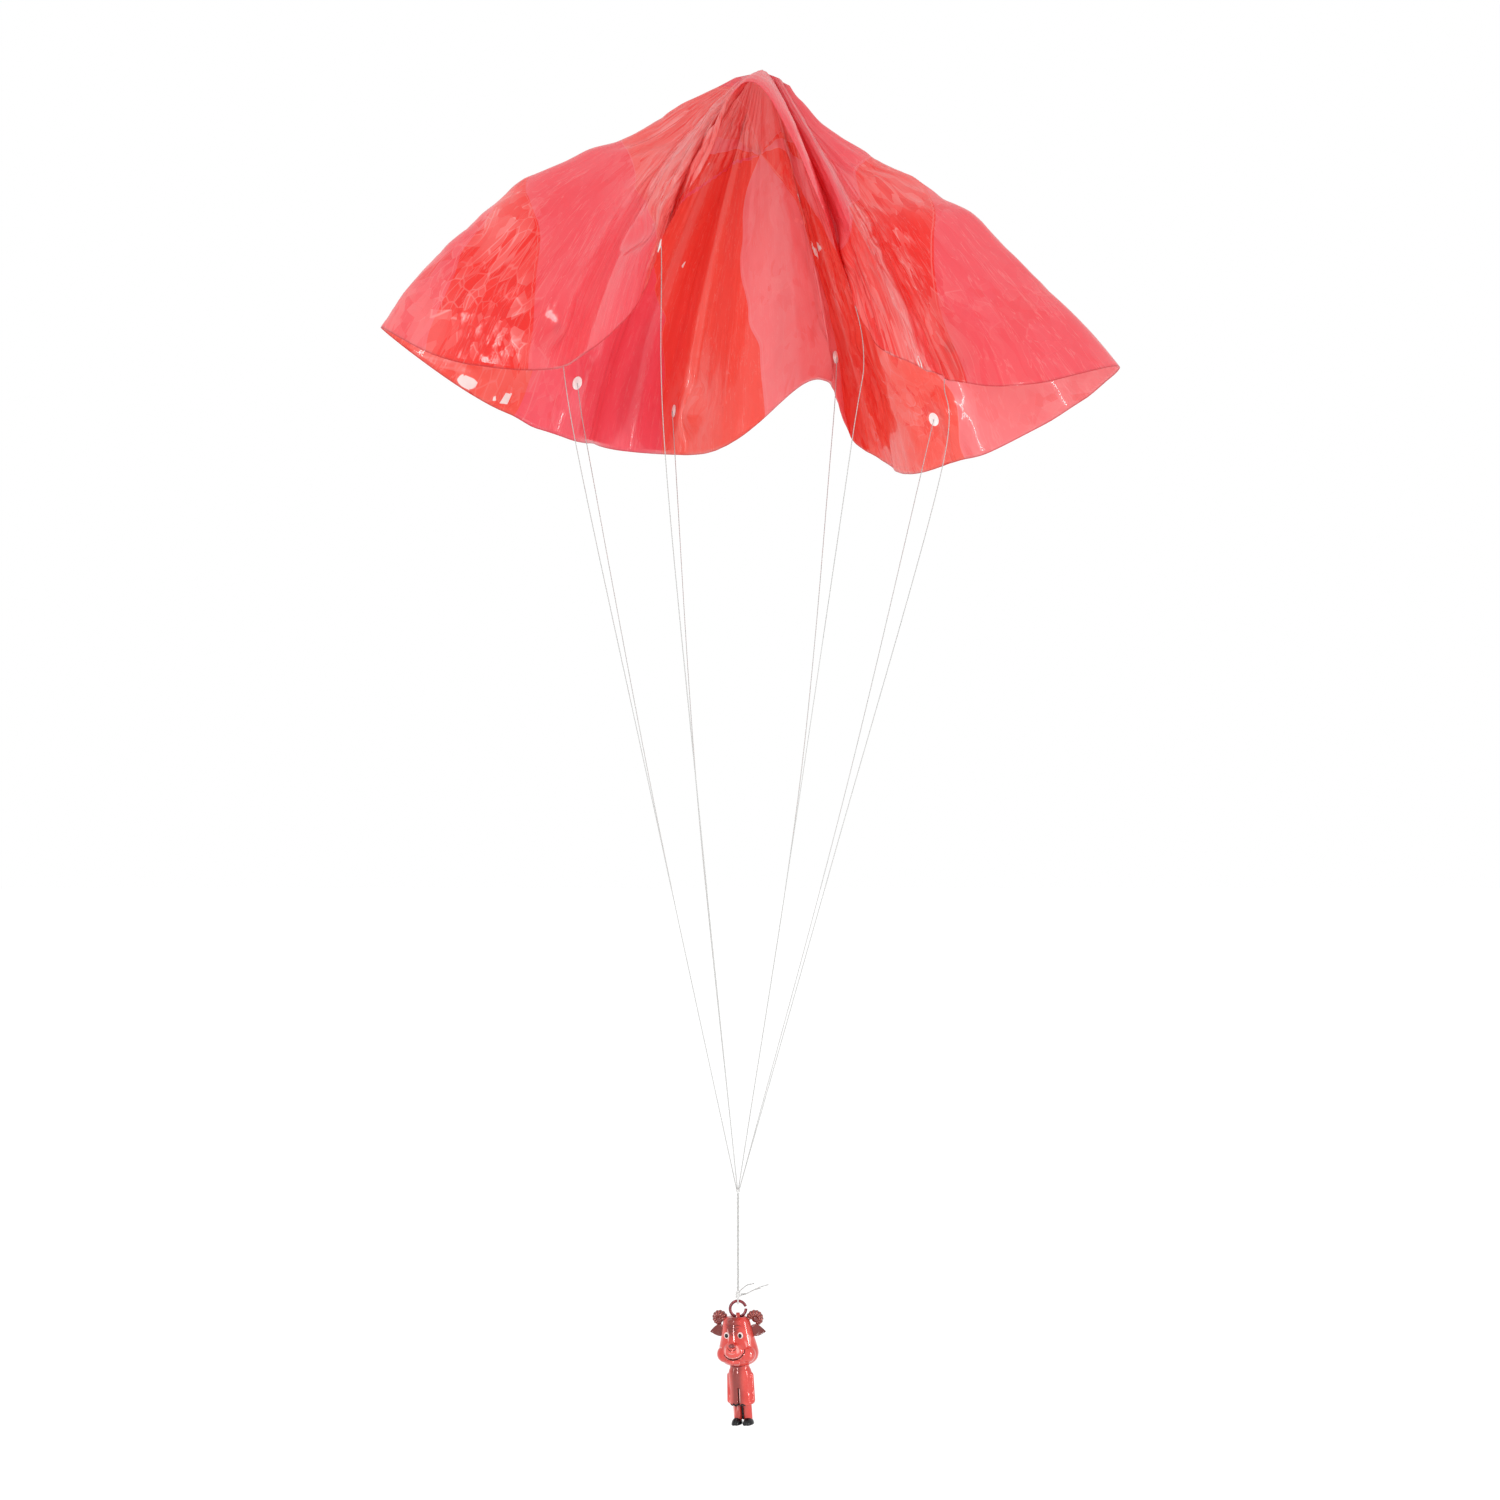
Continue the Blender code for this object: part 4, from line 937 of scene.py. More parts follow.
def film_material(film, name, side, group):
    """Glossy thin film in printed panels, with painted highlight, painted shade and painted glare on its
    crinkles and painted shade at its cut edge. side is 1 for the outer face and 2 for the inner.
    """
    material, tree, shader = new_material(name, 0.22, Coat_Weight=0.5, Coat_Roughness=0.04, IOR=1.45)
    uv = add(tree, "UVMap", uv_map="flat_sheet").outputs["UV"]
    width = SHEET_MAP_WIDTH / MM
    sheet = add(tree, "Mapping", {"Vector": uv, "Location": (-width / 2, -width / 2, 0),
                                  "Scale": (width, width, 1)}).outputs[0]
    layers = {name.capitalize(): add(tree, "Attribute", attribute_name=name).outputs["Fac"]
              for name in ("crumple", "frost", "scuff")}
    wrinkles = use_group(tree, group, Sheet=sheet, **layers)
    printed = add(tree, "UVMap", uv_map="print").outputs["UV"]
    parts = add(tree, "SeparateXYZ", {0: vector(tree, "SUBTRACT", printed, (0.5, 0.5, 0))}).outputs
    turn = calc(tree, "FRACT", calc(tree, "DIVIDE", calc(tree, "ARCTAN2", parts["Y"], parts["X"]), math.tau))
    ramp = add(tree, "ValToRGB", {"Fac": turn})
    ramp.color_ramp.interpolation = "CONSTANT"
    stops = ramp.color_ramp.elements
    while len(stops) < len(PANELS):
        stops.new(1.0)
    for number, (stop, row) in enumerate(zip(stops, PANELS)):
        stop.position = number / len(PANELS)
        stop.color = getattr(film, row[side - 1])
    far = length_of(tree, sheet)
    panel_turn = calc(tree, "FRACT", calc(tree, "MULTIPLY", turn, float(len(PANELS))))
    to_edge = calc(tree, "MULTIPLY", calc(tree, "PINGPONG", panel_turn, 0.5), far)
    seam = fade(tree, to_edge, *SEAM_WIDTHS_MM, SEAM_SHARE, 0.0)
    rim = fade(tree, far, *(FILM_RADIUS / MM - width for width in CUT_EDGE_WIDTHS_MM))
    # Painted shade on deep facets, painted highlight on pale creases (with the pale seams), painted glare on
    # white spots and painted shade along the cut edge.
    colour = blend_colour(tree, wrinkles["Deep"], ramp.outputs["Color"], film.deep_crease)
    colour = blend_colour(tree, calc(tree, "MAXIMUM", wrinkles["Pale"], seam), colour, film.crease_highlight)
    colour = blend_colour(tree, wrinkles["White"], colour, film.scuff)
    colour = blend_colour(tree, calc(tree, "MULTIPLY", rim, CUT_EDGE_SHARE), colour, film.rim)
    rough = fade(tree, wrinkles["Mottle"], 0.3, 0.7, 0.10, 0.28)
    dress(tree, shader, colour, wrinkles["Height"], 1.0 * MM, 0.7, rough)
    through = add(tree, "BsdfTranslucent", {"Color": colour})
    both = add(tree, "MixShader", {0: film.see_through, 1: shader.outputs[0], 2: through.outputs[0]})
    tree.links.new(both.outputs[0], tree.nodes["Material Output"].inputs["Surface"])
    return material


def make_canopy(film):
    """The hung sheet with its two printed faces."""
    group = wrinkle_group()
    canopy = piece_from("canopy_sheet", canopy_mesh(film), film_material(film, "film_outside", 1, group))
    canopy.data.materials.append(film_material(film, "film_inside", 2, group))
    wall = canopy.modifiers.new("wall", "SOLIDIFY")
    wall.thickness = film.wall
    wall.offset = 1.0
    wall.material_offset = 1
    stand_in(canopy, "canopy", "canopy_film")


# Strings and their dots

def dot_frame(number):
    """The packed dot's middle and directions: across, along and into the canopy's hollow."""
    node = NODES[f"string_dot_{number + 1}"]
    points = [Vector(place) for place in sorted({tuple(vertex.co) for vertex in node.data.vertices})]
    middle = sum(points, Vector()) / len(points)
    widest = max(node.data.polygons, key=lambda face: face.area)
    inward = widest.normal.copy()
    if inward.dot(GATHER - middle) < 0:
        inward = -inward
    tip = max(points, key=lambda point: (point - middle).length)
    along = tip - middle
    along = (along - inward * along.dot(inward)).normalized()
    if along.z > 0:
        along = -along
    return middle, along.cross(inward), along, inward


def string_route(thread, number):
    """From the dot's inner face, past the rim, to the top of the gathering knot."""
    middle, _, _, inward = dot_frame(number)
    start = middle + inward * (DOT_WALL / 2 + SEAT_GAP + thread.diameter / 2)
    heading = math.radians(FIRST_STRING_DEG + 360.0 / STRING_COUNT * number)
    out = (thread.diameter + STRING_END_SPACE) / (2 * math.sin(math.pi / STRING_COUNT))
    rise = math.sqrt((GATHER_KNOT_RADIUS + SEAT_GAP) ** 2 - out ** 2)
    end = GATHER + Vector((out * math.cos(heading), out * math.sin(heading), rise))
    bows = [start.lerp(end, share) + Vector((right, back, 0)) for share, right, back in STRING_BOWS[number]]
    return [start] + bows + [end]


THREAD_STAIN = (0.50, 0.49, 0.46, 1)
PAPER_TOOTH = (0.70, 0.69, 0.66, 1)


def thread_material(name, tone, groove_shade):
    """White twisted thread in a greyed tone, a little grey in its grooves; both greys are painted shade."""
    material, tree, shader = new_material(name, 0.78, Sheen_Weight=0.25)
    place = add(tree, "TexCoord").outputs["Object"]
    fibres = noise_at(tree, place, 9000.0, 2.0, 0.6)
    stains = noise_at(tree, place, 120.0, 2.0)
    # Painted shade: the grooves' grey mixed in by the fibre noise.
    colour = blend_colour(tree, fade(tree, fibres, 0.35, 0.6), groove_shade, tone)
    colour = blend_colour(tree, fade(tree, stains, 0.5, 0.8, 0.0, 0.25), colour, THREAD_STAIN)
    dress(tree, shader, colour, fibres, 0.05 * MM, 0.6)
    return material


def dot_material(thread):
    """A white paper sticker with a faint tooth and a slightly worn look."""
    material, tree, shader = new_material("dot_sticker", 0.5, Coat_Weight=0.2, Coat_Roughness=0.3)
    place = add(tree, "TexCoord").outputs["Object"]
    tooth = noise_at(tree, place, 2600.0, 3.0, 0.6)
    colour = blend_colour(tree, fade(tree, tooth, 0.3, 0.7, 0.35, 0.0), thread.sticker, PAPER_TOOTH)
    dress(tree, shader, colour, tooth, 0.04 * MM, 0.5, fade(tree, tooth, 0.3, 0.7, 0.42, 0.6))
    return material


def make_dot(thread, number, material):
    """An oval sticker with rounded edges, raised in its middle where the string's end lies."""
    middle, across, along, inward = dot_frame(number)
    bm = bmesh.new()
    bmesh.ops.create_cone(bm, cap_ends=True, segments=DOT_SEGMENTS, radius1=thread.sticker_radius,
                          radius2=thread.sticker_radius, depth=DOT_WALL)
    round_rims(bm, DOT_WALL / 3, 2)
    top = max(bm.faces, key=lambda face: face.calc_center_median().z)
    for level in DOT_LEVELS:
        bmesh.ops.inset_region(bm, faces=[top], thickness=thread.sticker_radius * DOT_INSET_SHARE)
        for vertex in top.verts:
            vertex.co.z = DOT_WALL / 2 + DOT_DOME * (1 - level) ** 1.5
    bmesh.ops.poke(bm, faces=[top])
    bmesh.ops.scale(bm, vec=(1, thread.sticker_length / (2 * thread.sticker_radius), 1), verts=bm.verts)
    turn = Matrix((across, along, inward)).transposed().to_4x4()
    bmesh.ops.transform(bm, matrix=Matrix.Translation(middle) @ turn, verts=bm.verts)
    dot = piece_from(f"sticker_{number + 1}", bm, material)
    dot.data.set_sharp_from_angle(angle=math.radians(DOT_EDGE_DEG))
    stand_in(dot, "canopy", f"string_dot_{number + 1}")


def make_string(thread, number, material):
    """One twisted string, from its sticker to the gathering knot."""
    points = even_points(catmull_rom(string_route(thread, number), STRING_POINTS), STRING_STEP)
    string = twisted_thread(f"thread_{number + 1}", points, thread.diameter, thread.pitch, material)
    stand_in(string, "canopy", f"string_{number + 1}")


def make_gather_knot(thread, material):
    """The strings' knot: turns of thread round a small core."""
    bm = bmesh.new()
    ball(bm, [GATHER_KNOT_RADIUS * KNOT_CORE_SHARE] * 3, (0, 0, 0), 20, 12)
    for step, (tilt, swing) in enumerate(GATHER_TURNS_DEG):
        place = Matrix.Rotation(math.radians(swing), 4, "Z") @ Matrix.Rotation(math.radians(tilt), 4, "X")
        lift = Matrix.Translation((0, 0, (step - 1.5) * GATHER_TURN_STEP))
        torus(bm, GATHER_KNOT_RADIUS * GATHER_TURN_SHARE, thread.diameter * GATHER_THREAD_SHARE, lift @ place)
    knot = piece_from("gather_knot_threads", merged_solid("gather", bm, GATHER_VOXEL, 1), material)
    knot.data.transform(Matrix.Translation(GATHER))
    stand_in(knot, "gather", "gather_knot")


def helix(top, bottom, radius, pitch, phase, count):
    points = []
    for step in range(count):
        share = step / (count - 1)
        middle = top.lerp(bottom, share)
        angle = phase + math.tau * (top - bottom).length * share / pitch
        points.append(middle + Vector((math.cos(angle), math.sin(angle), 0)) * radius)
    return points


def make_riser(thread, material):
    """Strands twisted into one cord between the two knots."""
    top = Vector((GATHER.x, GATHER.y, GATHER.z - GATHER_KNOT_RADIUS - SEAT_GAP))
    bottom = Vector((GATHER.x, GATHER.y, KNOT_TOP + SEAT_GAP))
    strand = thread.riser_diameter * STRAND_SHARE
    bm = bmesh.new()
    for number in range(RISER_STRANDS):
        points = helix(top, bottom, (thread.riser_diameter - strand) / 2, thread.riser_pitch,
                       math.tau * number / RISER_STRANDS, STRAND_POINTS)
        part = twisted_thread("strand", points, strand, thread.pitch, None)
        bm.from_mesh(part.data)
        bpy.data.objects.remove(part)
    riser = piece_from("riser_cord", bm, material)
    stand_in(riser, "riser", "riser")
    return riser, [top.lerp(bottom, step / RISER_STEPS) for step in range(RISER_STEPS + 1)]


def make_ring_knot(thread, ring, material):
    """The knot above the ring and its loop round the ring's wire."""
    bm = bmesh.new()
    loop_radius = (ring.wire + thread.loop_diameter) / 2 + LOOP_CLEARANCE
    ring_top = Matrix.Translation(RING_MIDDLE + Vector((0, 0, RING_RADIUS)))
    torus(bm, loop_radius, thread.loop_diameter / 2, ring_top @ Matrix.Rotation(math.pi / 2, 4, "Y"))
    core = (RING_KNOT_RADIUS * 0.7, RING_KNOT_RADIUS * 0.7, RING_KNOT_HEIGHT * 0.42)
    ball(bm, core, RING_KNOT, 20, 12)
    for step in range(RING_KNOT_WRAPS):
        level = (step + 0.5) / RING_KNOT_WRAPS - 0.5
        place = Matrix.Translation(RING_KNOT + Vector((0, 0, level * RING_KNOT_HEIGHT * WRAPPED_SHARE)))
        tilt = Matrix.Rotation(math.radians(WRAP_TILTS_DEG[step % 2]), 4, "Y")
        torus(bm, RING_KNOT_RADIUS * WRAP_SHARE, thread.loop_diameter * WRAP_THREAD_SHARE, place @ tilt)
    knot = piece_from("ring_knot_threads", merged_solid("tie", bm, RING_KNOT_VOXEL, 1), material)
    stand_in(knot, "ring_tie", "ring_knot")
    return knot


def make_loose_ends(thread, material):
    """The three cut ends of thread that stick out of the ring knot."""
    made = []
    for number, route in enumerate(LOOSE_END_ROUTES):
        points = even_points(catmull_rom([RING_KNOT + Vector(place) for place in route], END_POINTS),
                             STRING_STEP)
        frayed = len(points) * FRAY_START_SHARE
        radii = [1.0 if index < frayed else 1.0 + FRAY_SHARE * math.sin(index * FRAY_TURN)
                 for index in range(len(points))]
        end = twisted_thread(f"cut_end_{number + 1}", points, thread.end_diameter, thread.pitch, material,
                             radii)
        stand_in(end, "ring_tie", f"loose_end_{number + 1}")
        made.append(end)
    return made


# Ring

def wear_group():
    """Fine wear and dust for hard pieces: a roughness share and a tone share."""
    tree, given, result = group_tree(
        "fine_wear", [("Size", "Float", 700.0)], [("Rough", "Float"), ("Tone", "Float"), ("Grain", "Float")])
    place = add(tree, "TexCoord").outputs["Object"]
    grain = noise_at(tree, place, given["Size"], 4.0, 0.6)
    broad = noise_at(tree, place, calc(tree, "DIVIDE", given["Size"], 5.0), 2.0)
    tree.links.new(fade(tree, grain, 0.35, 0.7), result["Rough"])
    tree.links.new(fade(tree, broad, 0.35, 0.65), result["Tone"])
    tree.links.new(grain, result["Grain"])
    return tree


def ring_material(ring, wear):
    """Dark wine-red coated wire, brighter where the coat is thin."""
    material, tree, shader = new_material("wine_wire", 0.3, 0.75, Coat_Weight=0.5, Coat_Roughness=0.12)
    worn = use_group(tree, wear, Size=900.0)
    colour = blend_colour(tree, worn["Tone"], ring.dark, ring.light)
    rough = fade(tree, worn["Rough"], 0.0, 1.0, 0.22, 0.42)
    dress(tree, shader, colour, worn["Grain"], 0.03 * MM, 0.4, rough)
    return material


def make_ring(ring, wear):
    """An open ring of round wire in the plane of the picture."""
    half_gap = ring.gap / 2 / RING_RADIUS
    turn = math.tau - 2 * half_gap
    bm = bmesh.new()
    face_on = Matrix.Translation(RING_MIDDLE) @ Matrix.Rotation(math.pi / 2, 4, "X")
    spin_start = Matrix.Rotation(ring.gap_angle + half_gap, 4, "Z")
    torus(bm, RING_RADIUS, ring.wire / 2, face_on @ spin_start, 24, 96, turn)
    round_rims(bm, ring.wire * RING_ROUNDING_SHARE, 3)
    piece = piece_from("open_ring", bm, ring_material(ring, wear))
    piece.data.set_sharp_from_angle(angle=math.radians(RING_EDGE_DEG))
    stand_in(piece, "ring", "hanging_ring")


# Figure, in its own frame: heights are measured down from the hole that the ring goes through
HEAD_PROFILE_SHARES = (
    (0.46, 0.010), (0.62, -0.045), (0.70, -0.145), (0.77, -0.30), (0.86, -0.46),
    (0.96, -0.62), (1.00, -0.745), (0.93, -0.86), (0.70, -0.955), (0.40, -1.0),
)
HEAD_HALF_WIDTH = 8.2 * MM
HEAD_HALF_DEPTH = 6.7 * MM
HEAD_HEIGHT = 19.4 * MM
COAT_TOP_Z = -18.6 * MM
COAT_HEM_Z = -34.8 * MM
COAT_HALF_WIDTH = 4.9 * MM
COAT_HALF_DEPTH = 4.1 * MM
COAT_PROFILE_SHARES = (
    (0.80, 0.0), (0.82, -0.10), (0.95, -0.20), (0.98, -0.45), (0.96, -0.70), (1.06, -0.96), (1.0, -1.0),
)
SLIT_WIDTH = 0.45 * MM
SLIT_TOP_Z = -27.6 * MM
SLIT_DEPTH = 0.9 * MM
ARM_RADIUS = 1.3 * MM
ARM_X = 4.6 * MM
SHOULDER_SHARE = 0.93
ARM_TOP_Z = -23.4 * MM
ARM_END_Z = -33.2 * MM
LEG_RADIUS = 1.95 * MM
LEG_X = 2.15 * MM
LEG_GAP_SHADE_RADIUS = 0.7 * MM
SOLE_Z = -42.7 * MM
HOOF_RADII = (2.15 * MM, 3.4 * MM, 2.6 * MM)
HOOF_FORWARD = 1.1 * MM
HOOF_OUT = 0.22 * MM
CLEFT_HALF_WIDTH = 0.5 * MM
CLEFT_DEPTH = 0.6 * MM
CLEFT_REACH = 2 * MM
MUZZLE_RADII = (4.6 * MM, 3.7 * MM, 3.9 * MM)
MUZZLE_MIDDLE = (0, -4.9 * MM, -12.8 * MM)
CHEEK_RADIUS = 3.5 * MM
CHEEK_MIDDLE = (4.5 * MM, -3.1 * MM, -14.2 * MM)
LIP_RADII = (3.0 * MM, 1.3 * MM, 1.1 * MM)
LIP_MIDDLE = (0, -7.1 * MM, -16.5 * MM)
NOSE_RADII = (1.35 * MM, 0.85 * MM, 0.9 * MM)
NOSE_MIDDLE = (0, -8.2 * MM, -10.0 * MM)
EYE_RADII = (1.15 * MM, 0.7 * MM, 1.35 * MM)
EYE_MIDDLE = (2.85 * MM, -4.85 * MM, -6.5 * MM)
PUPIL_SHARE = 0.66
EAR_HALF_HEIGHT = 2.8 * MM
EAR_HALF_DEPTH = 1.0 * MM
EAR_ROOT = (5.0 * MM, 0.8 * MM, -5.2 * MM)
EAR_DROOP_DEG = 8.0
EAR_HOLLOW = 0.9 * MM
EAR_NARROWING = 0.75
HORN_ROOT_RADIUS = 1.75 * MM
HORN_TIP_RADIUS = 1.0 * MM
HORN_CURL_RADIUS = 1.95 * MM
HORN_CURL_MIDDLE = (7.5 * MM, 0.8 * MM, -1.0 * MM)
HORN_DRIFT = 1.6 * MM
HORN_CORE_RADII = (1.7 * MM, 0.9 * MM, 1.7 * MM)
HORN_START_DEG = 190.0
HORN_TURN_DEG = 290.0
HORN_GROOVE_SHARE = 0.86
HORN_RIB_SHARE = 0.20
HORN_TIP_BLUNTNESS = 14
HORN_TIP_SHARE = 0.15
POINTS_PER_RIB = 8
FORELOCK_RADII = (2.9 * MM, 1.5 * MM, 1.3 * MM)
FORELOCK_MIDDLE = (0, -3.3 * MM, -1.4 * MM)
TAIL_RADII = (1.3 * MM, 1.5 * MM, 2.0 * MM)
TAIL_Z = -31.0 * MM
LUG_THICKNESS = 1.6 * MM
LUG_RADIUS = 1.72 * MM
LUG_HOLE_RADIUS = 0.92 * MM
LUG_DEPTH = 2.6 * MM
DIMPLE_RADII = (3.4 * MM, 2.8 * MM, 2.1 * MM)
DIMPLE_Z = 0.9 * MM
FIGURE_TURN_DEG = -18.0
FIGURE_LEAN_DEG = -4.0
LUG_OFFSET = 0.7 * MM
FIGURE_VOXEL = 0.17 * MM
CORE_SMOOTHINGS, MOULDING_SMOOTHINGS = 4, 3
WELL_BEFORE = 30 * MM
LINE_STEP = 0.12 * MM
PUPIL_FORWARD = 0.42 * MM


def figure_frame():
    lean = Matrix.Rotation(math.radians(FIGURE_LEAN_DEG), 4, "Y")
    turn = Matrix.Rotation(math.radians(FIGURE_TURN_DEG), 4, "Z")
    return Matrix.Translation(HOLE) @ Matrix.Translation((-LUG_OFFSET, 0, 0)) @ lean @ turn


def turned(bm, shares, half_width, half_depth, height, top, steps=72):
    """A closed turned body from (width share, height share) rows, flattened front to back."""
    corners = [Vector((width * half_width, 0, top + level * height)) for width, level in shares]
    rows = catmull_rom(corners, PROFILE_POINTS)
    profile = [bm.verts.new(place) for place in rows]
    edges = [bm.edges.new(pair) for pair in zip(profile, profile[1:])]
    before = set(bm.verts) - set(profile)
    bmesh.ops.spin(bm, geom=profile + edges, cent=(0, 0, 0), axis=(0, 0, 1), angle=math.tau, steps=steps,
                   use_merge=True)
    made = [vertex for vertex in bm.verts if vertex not in before]
    open_edges = {edge for vertex in made for edge in vertex.link_edges if len(edge.link_faces) == 1}
    bmesh.ops.holes_fill(bm, edges=list(open_edges))
    bmesh.ops.scale(bm, vec=(1, half_depth / half_width, 1), verts=made)
    bmesh.ops.recalc_face_normals(bm, faces=list({face for vertex in made for face in vertex.link_faces}))
    return made


def capsule(bm, radius, start, end):
    """A rod with round ends between two points."""
    along = end - start
    made = ball(bm, [radius] * 3, (0, 0, 0), 24, 16)
    for vertex in made:
        if vertex.co.z > radius * 0.01:
            vertex.co.z += along.length
    turn = along.to_track_quat("Z", "Y").to_matrix().to_4x4()
    bmesh.ops.transform(bm, matrix=Matrix.Translation(start) @ turn, verts=made)
    return made


def mirrored(place, side):
    return Vector((side * place[0], place[1], place[2]))


def cut(target, bm, operation="DIFFERENCE"):
    """The target's mesh cut by, or joined to, the shape in bm."""
    other = piece_from("cutter", bm)
    step = target.modifiers.new("cut", "BOOLEAN")
    step.operation = operation
    step.object = other
    step.solver = "EXACT"
    name = target.name
    mesh = evaluated_mesh(target)
    bpy.data.objects.remove(other)
    return link_object(bpy.data.objects.new(name, mesh))


def on_figure(bm):
    bmesh.ops.transform(bm, matrix=figure_frame(), verts=bm.verts)
    return bm


def figure_core():
    """Head, coat, arms and legs as one skin, before its hollows are cut."""
    bm = bmesh.new()
    turned(bm, HEAD_PROFILE_SHARES, HEAD_HALF_WIDTH, HEAD_HALF_DEPTH, HEAD_HEIGHT, 0.0)
    turned(bm, COAT_PROFILE_SHARES, COAT_HALF_WIDTH, COAT_HALF_DEPTH, COAT_TOP_Z - COAT_HEM_Z, COAT_TOP_Z)
    ball(bm, MUZZLE_RADII, MUZZLE_MIDDLE)
    ball(bm, LIP_RADII, LIP_MIDDLE)
    ball(bm, FORELOCK_RADII, FORELOCK_MIDDLE)
    ball(bm, TAIL_RADII, (0, COAT_HALF_DEPTH, TAIL_Z))
    for side in (-1, 1):
        ball(bm, [CHEEK_RADIUS] * 3, mirrored(CHEEK_MIDDLE, side))
        shoulder = Vector((side * ARM_X * SHOULDER_SHARE, 0, ARM_TOP_Z))
        capsule(bm, ARM_RADIUS, shoulder, Vector((side * ARM_X, -COAT_HALF_DEPTH * 0.25, ARM_END_Z)))
        capsule(bm, LEG_RADIUS * 0.9, Vector((side * LEG_X, 0, COAT_HEM_Z + LEG_RADIUS)),
                Vector((side * LEG_X, 0, SOLE_Z + LEG_RADIUS * 1.05)))
    return on_figure(bm)


def slit_shape():
    bm = bmesh.new()
    height = SLIT_TOP_Z - COAT_HEM_Z + 1 * MM
    bmesh.ops.create_cube(bm, size=1.0)
    bmesh.ops.scale(bm, vec=(SLIT_WIDTH, 2 * SLIT_DEPTH, height), verts=bm.verts)
    bmesh.ops.translate(bm, vec=(0, -COAT_HALF_DEPTH, SLIT_TOP_Z - height / 2), verts=bm.verts)
    return on_figure(bm)


def rod_across(radius, thickness, sides=48):
    bm = bmesh.new()
    bmesh.ops.create_cone(bm, cap_ends=True, segments=sides, radius1=radius, radius2=radius, depth=thickness)
    bmesh.ops.rotate(bm, cent=(0, 0, 0), matrix=Matrix.Rotation(math.pi / 2, 3, "Y"), verts=bm.verts)
    return bm


def lug_shape():
    bm = rod_across(LUG_RADIUS, LUG_THICKNESS)
    for vertex in bm.verts:
        if vertex.co.z < 0:
            vertex.co.z -= LUG_DEPTH - LUG_RADIUS
    bmesh.ops.translate(bm, vec=HOLE, verts=bm.verts)
    return bm


def dimple_shape():
    bm = bmesh.new()
    ball(bm, DIMPLE_RADII, HOLE + Vector((0, 0, DIMPLE_Z)))
    return bm


def hole_shape():
    bm = rod_across(LUG_HOLE_RADIUS, LUG_THICKNESS + 2 * MM, 40)
    bmesh.ops.translate(bm, vec=HOLE, verts=bm.verts)
    return bm


def make_figure_body(material):
    """The moulding: one skin with a dimple and a lug on its head, and a slit up the coat."""
    voxel = FIGURE_VOXEL * 1.0
    body = piece_from("ram_body", merged_solid("core", figure_core(), voxel, CORE_SMOOTHINGS))
    body = cut(body, dimple_shape())
    body = cut(body, slit_shape())
    body = cut(body, lug_shape(), "UNION")
    bm = bmesh.new()
    bm.from_mesh(body.data)
    bpy.data.objects.remove(body)
    body = piece_from("ram_body", merged_solid("moulding", bm, voxel, MOULDING_SMOOTHINGS))
    body = cut(body, hole_shape())
    body.name = "ram_body"
    body.data.materials.clear()
    body.data.materials.append(material)
    body.data.shade_smooth()
    return body


def eye_shape(side, share, forward):
    bm = bmesh.new()
    radii = [radius * share for radius in EYE_RADII]
    ball(bm, radii, mirrored(EYE_MIDDLE, side) + Vector((0, -forward, 0)), 32, 20)
    return on_figure(bm)


def ear_shape(length, side):
    """A pointed, flattened ear, hollow in front, that droops a little."""
    bm = bmesh.new()
    ball(bm, (1, 1, 1), (0, 0, 0), 48, 32)
    for vertex in bm.verts:
        place = (vertex.co.x + 1) / 2
        narrow = 1 - EAR_NARROWING * place ** 2
        hollow = EAR_HOLLOW * smooth_step(-vertex.co.y * 1.4) * (1 - vertex.co.z ** 2)
        hollow *= smooth_step(place * 2)
        vertex.co = Vector((side * place * length, vertex.co.y * EAR_HALF_DEPTH * narrow + hollow * narrow,
                            vertex.co.z * EAR_HALF_HEIGHT * narrow))
    droop = Matrix.Rotation(math.radians(side * EAR_DROOP_DEG), 4, "Y")
    bmesh.ops.transform(bm, matrix=Matrix.Translation(mirrored(EAR_ROOT, side)) @ droop, verts=bm.verts)
    bmesh.ops.recalc_face_normals(bm, faces=bm.faces)
    return on_figure(bm)


def horn_piece(ribs, side, name, material):
    """A ram's curl with ribs across it."""
    points, radii = [], []
    count = ribs * POINTS_PER_RIB + 1
    middle = mirrored(HORN_CURL_MIDDLE, side)
    for step in range(count):
        share = step / (count - 1)
        angle = math.radians(HORN_START_DEG - HORN_TURN_DEG * share)
        points.append(middle + Vector((side * HORN_CURL_RADIUS * math.cos(angle), HORN_DRIFT * share,
                                       HORN_CURL_RADIUS * math.sin(angle))))
        taper = HORN_ROOT_RADIUS + (HORN_TIP_RADIUS - HORN_ROOT_RADIUS) * share
        rib = HORN_GROOVE_SHARE + HORN_RIB_SHARE * abs(math.sin(math.pi * ribs * share))
        close = min(1.0, math.sqrt(max(0.0, (1 - share) * HORN_TIP_BLUNTNESS)))
        radii.append(taper * rib * max(close, HORN_TIP_SHARE))
    curve = bpy.data.curves.new(name, "CURVE")
    curve.dimensions = "3D"
    curve.bevel_depth = 1.0
    curve.bevel_resolution = 6
    curve.use_fill_caps = True
    spline = curve.splines.new("POLY")
    spline.points.add(count - 1)
    for point, place, radius in zip(spline.points, points, radii):
        point.co = (*place, 1)
        point.radius = radius
    bm = swept_shape(link_object(bpy.data.objects.new(name, curve)))
    ball(bm, HORN_CORE_RADII, middle + Vector((0, HORN_DRIFT / 2, 0)), 24, 16)
    bmesh.ops.recalc_face_normals(bm, faces=bm.faces)
    return piece_from(name, on_figure(bm), material)


